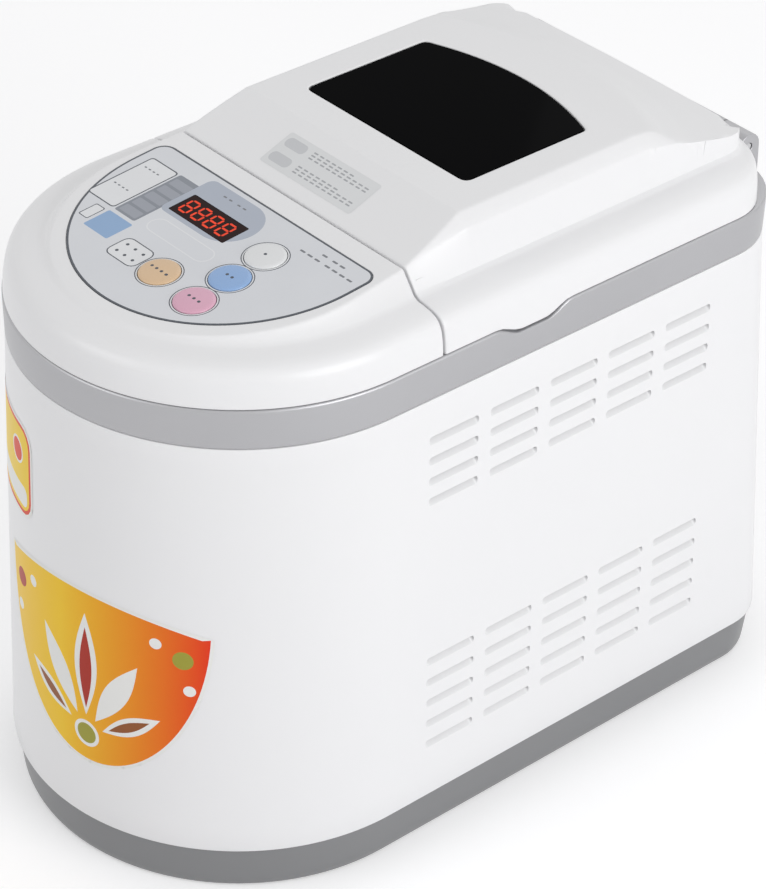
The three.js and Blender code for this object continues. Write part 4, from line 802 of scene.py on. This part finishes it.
# ---------------- four keys
# Domed ABS caps in white, blue, pink and tan, each with its own row of small printed dots. They slide in the
# housing and press the switches on the board below.
KEY_TONES = {"white": (0.80, 0.81, 0.82), "blue": (0.28, 0.45, 0.75), "pink": (0.76, 0.42, 0.55),
             "tan": (0.74, 0.52, 0.32)}
for number, (tone, centre) in enumerate(KEYS.items()):
    dots = [(disc((centre[0] + 3.4 * (k - number / 2), centre[1]), 0.85, 12), 1) for k in range(number + 1)]
    spots = np.concatenate([disc(centre, radius, 24) for radius in (2.2, 4.4, 6.5, 7.8)])
    crown = trimmed(disc(centre, 8.6), spots=spots, prints=dots,
                    height=lambda x, y: 1.25 + 0.42 * (1 - np.hypot(x - centre[0], y - centre[1]) ** 2 / 74))
    wall = turned([(10.8, -4.2), (10.8, -3), (9.8, -2.8), (9.8, 0.5), (9.45, 0.95), (8.6, 1.25)], centre, 40,
                  0.3)
    stem = turned([(0, -9.8), (3, -9.8), (3, -4.2), (10.8, -4.2)], centre, 40, 0.2)
    shade = tuple(0.92 * value for value in KEY_TONES[tone])
    piece(f"key_{tone}_cap", [crown, wall, stem], f"key_{tone}", [f"button_{tone}"],
          [finish(f"key_{tone}_abs", KEY_TONES[tone], shade, 0.3, 0.1, 2200, 0.01, 40, coat=0.2),
           finish(f"key_{tone}_dot", (0.07, 0.08, 0.10), (0.05, 0.06, 0.08), 0.4, 0.1, 2200, 0.01)],
          40, on_panel)


# ---------------- display
# Smoked acrylic lens, let into its hole in the housing flush with the film. The red segments of the
# four-digit module under it show dimly through.
FIRST_DIGIT, DIGIT_PITCH = (-29.2, -12.2), 8.7


def digit(x, y):
    """Seven bars round a figure of eight, each a long hexagon."""
    wide, half, bar = 5.4, 4.7, 0.575

    def lying(cy):
        """A level bar, its middle at height cy."""
        return np.array([(x + 0.4, cy), (x + 0.9, cy - bar), (x + wide - 0.9, cy - bar), (x + wide - 0.4, cy),
                         (x + wide - 0.9, cy + bar), (x + 0.9, cy + bar)])

    def standing(cx, cy):
        """An upright bar at cx, from height cy to half a digit over it."""
        return np.array([(cx, cy + 0.3), (cx + bar, cy + 0.8), (cx + bar, cy + half - 0.8),
                         (cx, cy + half - 0.3), (cx - bar, cy + half - 0.8), (cx - bar, cy + 0.8)])
    return [lying(y), lying(y + half), lying(y + 2 * half), standing(x, y), standing(x + wide, y),
            standing(x, y + half), standing(x + wide, y + half)]


def lit(name, tone, strength):
    """Tinted plastic lit from behind, brighter and darker along it."""
    shade = tuple(0.6 * value for value in tone)
    material = finish(name, tone, shade, 0.12, 0.02, 900, 0.002, 120, mirror=0.08)
    tree = material.node_tree
    shader = tree.nodes["Principled BSDF"]
    tree.links.new(tree.nodes["Group"].outputs["Colour"], shader.inputs["Emission Color"])
    shader.inputs["Emission Strength"].default_value = strength
    return material


lens_loop = rounded(*DISPLAY, 0.7, 4)
segments = [(bar, 1) for k in range(4) for bar in digit(FIRST_DIGIT[0] + DIGIT_PITCH * k, FIRST_DIGIT[1])]
piece("display_lens", [trimmed(lens_loop, prints=segments, height=0.1),
                       patch(upright(lens_loop, (PLATE_UNDER, 0.1)))],
      "cabinet", ["display_window"],
      [finish("smoked_acrylic", (0.016, 0.004, 0.004), (0.022, 0.006, 0.006), 0.07, 0.03, 600, 0.002, 60,
              mirror=0.08), lit("red_segment", (0.62, 0.05, 0.02), 0.9)], 30, on_panel)


# ---------------- lid label
# Printed paper label in light greys, glued on the front slope of the crown: two rows, each with a plain pill
# beside short dashes.
label_prints = []
for y in (40.5, 50.2):
    label_prints += [(box_print(-30, -16, y, y + 5.6, 2.6), 1)]
    for row, count in ((0.6, 10), (2.4, 10), (4.2, 7)):
        label_prints += dashes(-12 + 4.2 * np.arange(count), y + row, 2.8, 0.8, 0.3, 2)
label_spots = np.array([(x, y) for x in range(-30, 31, 6) for y in (44, 48, 54)])
piece("lid_label", [trimmed(box_print(-32, 32.5, 38, 58, 1.5), spots=label_spots, prints=label_prints,
                            height=lambda x, y: crown_height(x, y) + 0.06)],
      "lid", (),
      inked("label_ink", [(0.77, 0.78, 0.79), (0.62, 0.63, 0.65), (0.42, 0.43, 0.45)], 0.3), None, over_band)


# ---------------- nose label
# Glossy printed sticker on the nose of the case: a half-round in yellow to red with a fan of pointed leaves
# and a few dots, and a yellow tab at its upper left. The motifs are plain shapes.
FAN = (21, 74)  # foot of the fan, along the nose and up
LAID_RADIUS = 110.0  # radius at which a label millimetre is a true one
BOWL_TOP, BOWL_HALF, BOWL_DEEP = 155, 66, 98


def on_nose(points):
    """From label millimetres (along the nose from straight ahead, height, lift) to the drafted nose."""
    along, z, lift = np.asarray(points, float).T
    radius = HALF + DRAFT * (CASE_TOP - z) / (CASE_TOP - BASE_TOP) + lift
    angle = along / LAID_RADIUS - np.pi / 2
    return np.stack([radius * np.cos(angle), radius * np.sin(angle), z], axis=1)


def half_round(inset):
    """A half ellipse hanging from a gently arched top edge."""
    turn = np.linspace(0.08, np.pi - 0.08, 61)
    bowl = np.column_stack([FAN[0] + (BOWL_HALF - inset) * np.cos(turn),
                            BOWL_TOP - (BOWL_DEEP - inset) * np.sin(turn)])
    top = np.linspace(-1, 1, 41)[1:-1]
    arch = np.column_stack([FAN[0] + (BOWL_HALF - 1 - inset) * top,
                            BOWL_TOP - 7.5 - inset + 10 * (1 - top ** 2)])
    return np.concatenate([bowl, arch])


def petal(lean, near, far, half, ink):
    """A print of a pointed leaf on a ray that leaves the fan's foot at the given lean from upright."""
    share = np.linspace(0, 1, 25)
    out = near + (far - near) * np.concatenate([share, share[-2:0:-1]])
    wide = half * np.concatenate([np.sin(np.pi * share), -np.sin(np.pi * share[-2:0:-1])])
    return np.column_stack([FAN[0] + out * np.sin(lean) + wide * np.cos(lean),
                            FAN[1] + out * np.cos(lean) - wide * np.sin(lean)]), ink


def stepped(loop):
    """The same closed loop with points added along its long sides, so that it can follow a curved wall."""
    ahead = np.roll(loop, -1, axis=0)
    counts = np.maximum(np.ceil(np.linalg.norm(ahead - loop, axis=1) / 2.5), 1).astype(int)
    return np.concatenate([start + (stop - start) * np.arange(count)[:, None] / count
                           for start, stop, count in zip(loop, ahead, counts)])


def printed_gradient(name, low, high, gloss):
    """Two print tones shading into each other across the label, from the place along X."""
    material = finish(name, low, high, gloss, 0.05, 2400, 0.004, 30, mirror=0.2)
    tree = material.node_tree
    place = tree.nodes["Texture Coordinate"].outputs["Object"]
    across = wired(tree, "ShaderNodeSeparateXYZ", {"Vector": place}).outputs["X"]
    share = wired(tree, "ShaderNodeMapRange", {"Value": across, "From Min": 0.005, "From Max": 0.078})
    blend = wired(tree, "ShaderNodeMix", {"Factor": share.outputs["Result"], "A": (*low, 1), "B": (*high, 1)},
                  "RGBA")
    shade = wired(tree, "ShaderNodeMix", {"Factor": 0.12, "A": blend.outputs["Result"],
                                          "B": tree.nodes["Group"].outputs["Colour"]}, "RGBA")
    shade.blend_type = "MULTIPLY"
    tree.links.new(shade.outputs["Result"], tree.nodes["Principled BSDF"].inputs["Base Color"])
    return material


label_inks = [printed_gradient("nose_ink_blend", (0.92, 0.62, 0.02), (0.78, 0.035, 0.01), 0.3),
              *inked("nose_ink", [(0.86, 0.86, 0.84), (0.30, 0.10, 0.03), (0.36, 0.34, 0.05),
                                  (0.42, 0.03, 0.015), (0.74, 0.05, 0.01), (0.92, 0.64, 0.02)], 0.3, 0.2)]


def sticker(name, outline, prints):
    """A printed sticker laid on the nose, with spots every few millimetres to follow the curve."""
    low, high = outline.min(axis=0), outline.max(axis=0)
    spots = np.stack(np.meshgrid(np.arange(low[0] + 1, high[0], 3), np.arange(low[1] + 1, high[1], 2.5)),
                     axis=-1).reshape(-1, 2)
    sheet = trimmed(stepped(outline), spots=spots[within(spots, outline)],
                    prints=[(stepped(loop), ink) for loop, ink in prints], height=0.12, ink=1)
    piece(name, [sheet], "cabinet", (), label_inks, None, on_nose)


nose_prints = [(half_round(1.8), 0), (disc(FAN, 7.5), 1), (disc(FAN, 5.6), 3)]
nose_prints += [petal(-1.05, 11, 46, 5, 1), petal(-0.52, 11, 58, 6, 1), petal(0, 11, 70, 6.8, 1),
                petal(0.52, 11, 58, 6, 1), petal(1.05, 11, 46, 5, 1), petal(-1.05, 15, 40, 2.5, 2),
                petal(0, 15, 62, 3.7, 4), petal(1.05, 15, 40, 2.5, 2)]
nose_prints += [(disc((x, y), radius), ink) for x, y, radius, ink in (
    (-31, 134, 5, 4), (-18, 140, 3, 1), (72, 134, 5, 3), (59, 141, 3, 1), (75, 117, 3, 1), (-33, 117, 3, 1))]
sticker("nose_label", half_round(0), nose_prints)
sticker("nose_label_tab", box_print(-80, -17, 171, 223, 11),
        [(box_print(-78.2, -18.8, 172.8, 221.2, 9.6), 5), (box_print(-76.4, -20.6, 174.6, 219.4, 8), 6),
         (box_print(-74, -23, 177, 188, 4), 1), (disc((-34, 205), 7), 1), (disc((-34, 205), 5.8), 5)])


# ---------------- window and its inner pane
# Near-black tinted glass, flush in the crown with ground edges, and a clear inner pane behind it in a red
# silicone gasket, which keeps the steam off it.
INNER_PANE = (293.8, 296.8)  # its under and upper face


def pane(node, grown, low, high, bevel, slot, material):
    """A pane of the window's outline: its walls, and a ground edge above and below."""
    stack = np.stack([raised(window_loop(grown + grow), z) for grow, z in
                      ((-bevel, low), (0, low + bevel), (0, high - bevel), (-bevel, high))])
    piece(node + "_pane", [patch(stack), cap(stack[0], flip=True), cap(stack[-1])], "lid", [node],
          [material], 30)


def glass(name, tone, clear, gloss, mirror):
    """Glass, with faint streaks in its polish."""
    shade = tuple(0.8 * value for value in tone)
    material = finish(name, tone, shade, gloss, 0.03, 300, 0.001, 22, mirror=mirror)
    material.node_tree.nodes["Principled BSDF"].inputs["Transmission Weight"].default_value = clear
    return material


pane("window_glass", 0, BAND_TOP + LID_TOP - 3.2, BAND_TOP + LID_TOP - 0.2, 0.35, "dark_glass",
     glass("tinted_glass", (0.0022, 0.0022, 0.0026), 0.0, 0.05, 0.006))
pane("inner_glass", 2, *INNER_PANE, 0.3, "clear_glass",
     glass("clear_glass", (0.85, 0.88, 0.87), 0.9, 0.03, 0.5))


# ---------------- lid liner
# Pressed stainless sheet that closes the lid from below: a shallow tray with a hemmed skirt, cut out for the
# window and held by four screws.
LINER = (-83, 83, 38, 240)
LINER_UNDER, LINER_OVER = 292.3, 293.5


def tray_loop(inset, corner, box):
    """A round-cornered rectangle taken in by an inset."""
    return rounded(box[0] + inset, box[1] - inset, box[2] + inset, box[3] - inset, max(corner - inset, 1), 10)


def tray_walls(line, corner, box, soft=1.2, steps=3):
    """The walls of a pressed tray: a line of (inset, height) carried round a round-cornered rectangle."""
    line = eased(line, soft, steps)
    return patch(np.stack([raised(tray_loop(inset, corner, box), z) for inset, z in line]))


bright_steel = finish("bright_steel", (0.62, 0.62, 0.63), (0.54, 0.54, 0.55), 0.24, 0.12, 3200, 0.006, 14,
                      metal=1.0)
liner_line = [(4.0, LINER_UNDER), (1.2, LINER_UNDER), (1.2, 276.0), (0.9, 275.7), (0.3, 275.7), (0, 276.0),
              (0, LINER_OVER), (4, LINER_OVER)]
liner_flat = tray_loop(4.0, 20, LINER), [window_loop(-6)]
screws = [turned([(0, 289.9), (0.7, 289.95), (0.8, 290.7), (2.4, 290.3), (3.6, 291.3), (3.8, LINER_UNDER),
                  (0, LINER_UNDER)], (x, y), 20, 0.3) for x in (-64, 64) for y in (56, 224)]
piece("lid_liner_tray", [trimmed(*liner_flat, height=LINER_UNDER, flip=True),
                         tray_walls(liner_line, 20, LINER), trimmed(*liner_flat, height=LINER_OVER),
                         *bored([window_loop(-6)], (LINER_UNDER, LINER_OVER)), *screws],
      "lid", ["lid_liner"], [bright_steel], 35)


# ---------------- chamber and heating element
# Deep-drawn zinc-coated tub with a flange, which hangs from the band. A sheathed element runs round it in one
# level loop and leaves through the front wall.
CHAMBER = (-79, 79, 47, 239)
DRIVE_AXIS = (0, 143)
TUB_FLOOR, FLANGE = (82, 83.2), (267.2, 268.4)  # under and upper face of each
ROD_LEVEL, ROD_RADIUS = 98, 3.2
zinc_sheet = finish("zinc_sheet", (0.46, 0.47, 0.48), (0.36, 0.37, 0.38), 0.36, 0.18, 700, 0.01, 26,
                    metal=1.0)
tub_line = [(-6, FLANGE[0]), (-6, FLANGE[1]), (1.2, FLANGE[1]), (1.2, TUB_FLOOR[1]), (9, TUB_FLOOR[1])]
tub_outer = [(9, TUB_FLOOR[0]), (0, TUB_FLOOR[0]), (0, FLANGE[0]), (-6, FLANGE[0])]
tub_flat = tray_loop(9.0, 33, CHAMBER), [disc(DRIVE_AXIS, 16)]
piece("chamber_tub", [tray_walls(tub_line, 33, CHAMBER, 7, 5), tray_walls(tub_outer, 33, CHAMBER, 7, 5),
                      trimmed(*tub_flat, height=TUB_FLOOR[1]),
                      trimmed(*tub_flat, height=TUB_FLOOR[0], flip=True)],
      "cabinet", ["chamber_liner"], [zinc_sheet], 40)


def bent_rod(corners, z, radius, bends):
    """A round rod in a level plane: its centre line bends at each corner, and a circle is carried along it
    square to its run."""
    line = eased(corners, bends, 10)
    run = np.gradient(line, axis=0)
    run /= np.linalg.norm(run, axis=1, keepdims=True)
    across = np.stack([run[:, 1], -run[:, 0]], axis=1)
    angle = np.arange(16) * np.pi / 8
    plan = line[:, None] + radius * np.cos(angle)[None, :, None] * across[:, None]
    level = np.broadcast_to(z + radius * np.sin(angle)[None, :, None], plan[..., :1].shape)
    rings = np.concatenate([plan, level], axis=2)
    return [patch(rings, flip=True), cap(rings[0]), cap(rings[-1], flip=True)]


piece("heating_rod", bent_rod([(-14, 40), (-14, 60), (-66, 60), (-66, 226), (66, 226), (66, 60), (14, 60),
                               (14, 40)], ROD_LEVEL, ROD_RADIUS, [10, 30, 30, 30, 30, 10]),
      "cabinet", ["heating_element"],
      [finish("heater_sheath", (0.085, 0.080, 0.076), (0.15, 0.125, 0.105), 0.42, 0.2, 900, 0.02, 60,
              metal=0.8)], 40)


# ---------------- bread pan and bail
# Drawn aluminium pan in dark non-stick, with a rolled rim and two riveted ears. A bent steel bail turns in
# the ears.
PAN = (-66, 66, 61, 225)
PAN_FLOOR = (107, 108.6)
BAIL_AXIS = (143, 236)  # run and height of the bail's pivots
BAIL_HALF, WIRE_RADIUS = 73, 2
EAR = (67, 69)  # inner and outer face of an ear
non_stick = finish("non_stick_coat", (0.030, 0.030, 0.032), (0.045, 0.044, 0.045), 0.34, 0.12, 2600, 0.02, 24,
                   coat=0.15)
pan_line = [(12, PAN_FLOOR[1]), (10.6, PAN_FLOOR[1]), (6.6, 114.6), (1.6, 231), (-0.6, 231.9), (-3, 231.4),
            (-3.1, 230.2), (-2.0, 229.9), (0, 230), (5, 113), (9, PAN_FLOOR[0]), (12, PAN_FLOOR[0])]
pan_flat = tray_loop(12, 30, PAN), [disc(DRIVE_AXIS, 7.5, 32)]


def ear(side):
    """A riveted ear: an arched tab, as thick as two sheets, with a hole for the bail."""
    arch = np.radians(np.linspace(0, 180, 21))
    outline = np.column_stack([BAIL_AXIS[0] + 7 * np.cos(arch), BAIL_AXIS[1] + 6 * np.sin(arch)])
    outline = np.concatenate([[(BAIL_AXIS[0] + 7, 230)], outline, [(BAIL_AXIS[0] - 7, 230)]])
    hole = disc(BAIL_AXIS, 2.3, 20)

    def stood(loop, x):
        """A loop of (y, z) stood up at x from the pan's middle, on the ear's own side."""
        return np.column_stack([np.full(len(loop), side * x), loop])
    faces = []
    for x, over in zip(EAR, (side > 0, side < 0)):
        spots, tris, inks = trimmed(outline, [hole], flip=over)
        faces.append((stood(spots[:, :2], x), tris, inks))
    for loop, over in ((outline, side < 0), (hole, side > 0)):
        faces.append(patch(np.stack([stood(loop, x) for x in EAR]), flip=over))
    rivet = np.stack([stood(disc((147.4, 232.6), r, 16), x)
                      for x, r in ((69, 1.4), (69.5, 1.2), (69.8, 0.6), (69.85, 0.05))])
    return [*faces, patch(rivet, flip=side < 0)]


collar = turned([(33, 86.3), (37, 86.3), (37, 107.5)], DRIVE_AXIS, 48, 0.4)
piece("bread_pan_shell", [tray_walls(pan_line, 30, PAN, 5, 4), trimmed(*pan_flat, height=PAN_FLOOR[1]),
                          trimmed(*pan_flat, height=PAN_FLOOR[0], flip=True), collar, *ear(1), *ear(-1)],
      "cabinet", ["bread_pan"], [non_stick], 40)
bail_ends = [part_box("pan_bail")[end].y * 1000 - nose_y + inset
             for end, inset in ((0, WIRE_RADIUS), (1, -WIRE_RADIUS))]
bail_reach = max(bail_ends, key=lambda y: abs(y - BAIL_AXIS[0]))
bail_corners = [(-64.5, BAIL_AXIS[0]), (-BAIL_HALF, BAIL_AXIS[0]), (-BAIL_HALF, bail_reach)]
bail_corners += [(-x, y) for x, y in bail_corners[::-1]]
piece("bail_wire", bent_rod(bail_corners, BAIL_AXIS[1], WIRE_RADIUS, [3.5, 14, 14, 3.5]),
      "bail", ["pan_bail"], [bright_steel], 40)


# ---------------- turned, pressed and moulded parts inside
# The rest are small parts of simple form: hinge parts, shafts, pulleys, brackets, switches and boards. Each
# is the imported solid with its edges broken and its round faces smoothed.
black_abs = finish("black_abs", (0.018, 0.018, 0.019), (0.028, 0.028, 0.028), 0.42, 0.12, 1800, 0.03, 20)
cast_zinc = finish("cast_zinc", (0.40, 0.40, 0.41), (0.30, 0.30, 0.31), 0.48, 0.15, 900, 0.05, 40, metal=1.0)
silicone = finish("red_silicone", (0.27, 0.045, 0.030), (0.22, 0.035, 0.025), 0.55, 0.12, 1500, 0.02, 30)
ceramic = finish("ceramic", (0.74, 0.71, 0.63), (0.68, 0.65, 0.58), 0.5, 0.1, 1600, 0.02, 40)
green = finish("board_green", (0.030, 0.14, 0.055), (0.022, 0.11, 0.045), 0.32, 0.1, 800, 0.01, 60, coat=0.2)
paint = finish("motor_paint", (0.17, 0.175, 0.18), (0.13, 0.135, 0.14), 0.42, 0.12, 1600, 0.02, 30, metal=0.4)
varnish = finish("transformer_lacquer", (0.045, 0.045, 0.055), (0.06, 0.055, 0.055), 0.4, 0.15, 2200, 0.03,
                 50)
can = finish("capacitor_case", (0.62, 0.62, 0.58), (0.57, 0.57, 0.53), 0.4, 0.1, 1600, 0.02, 30)
for names, slot, material, broken in (
    ("hinge_housing hinge_barrel", "silver_plastic", silver_paint, 0.6),
    ("cord_gland", "black_plastic", black_abs, 0.5),
    ("display_module switch_white switch_blue", "black_plastic", black_abs, 0.2),
    ("switch_pink switch_tan drive_pulley", "black_plastic", black_abs, 0.2),
    ("window_gasket pan_seal", "silicone", silicone, 0.3),
    ("hinge_pin_right hinge_pin_left heater_clip_left heater_clip_right", "bright_steel", bright_steel, 0.15),
    ("heater_clip_rear temperature_sensor", "bright_steel", bright_steel, 0.15),
    ("drive_shaft pan_shaft motor_shaft", "bright_steel", bright_steel, 0.15),
    ("pan_socket chassis heat_shield", "zinc_sheet", zinc_sheet, 0.15),
    ("bearing_housing drive_coupling pan_coupling motor_pulley", "cast_zinc", cast_zinc, 0.3),
    ("heater_bush_left heater_bush_right", "ceramic", ceramic, 0.3),
    ("kneading_paddle", "non_stick", non_stick, 0.8),
    ("motor", "motor_can", paint, 0.5),
    ("drive_belt", "rubber", rubber, 0.2),
    ("control_board power_board", "circuit_board", green, 0.1),
    ("transformer", "transformer_core", varnish, 0.3),
    ("motor_capacitor", "capacitor_case", can, 0.6),
):
    for node in names.split():
        source = frame["nodes"][node]
        mesh = source.data.copy()
        mesh.name = node + "_dressed"
        mesh.materials.clear()
        made = settle(node + "_part", mesh, source["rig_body"], [node], [material], 32, flatten=True)
        edged(made, "broken_edges", broken, 40)
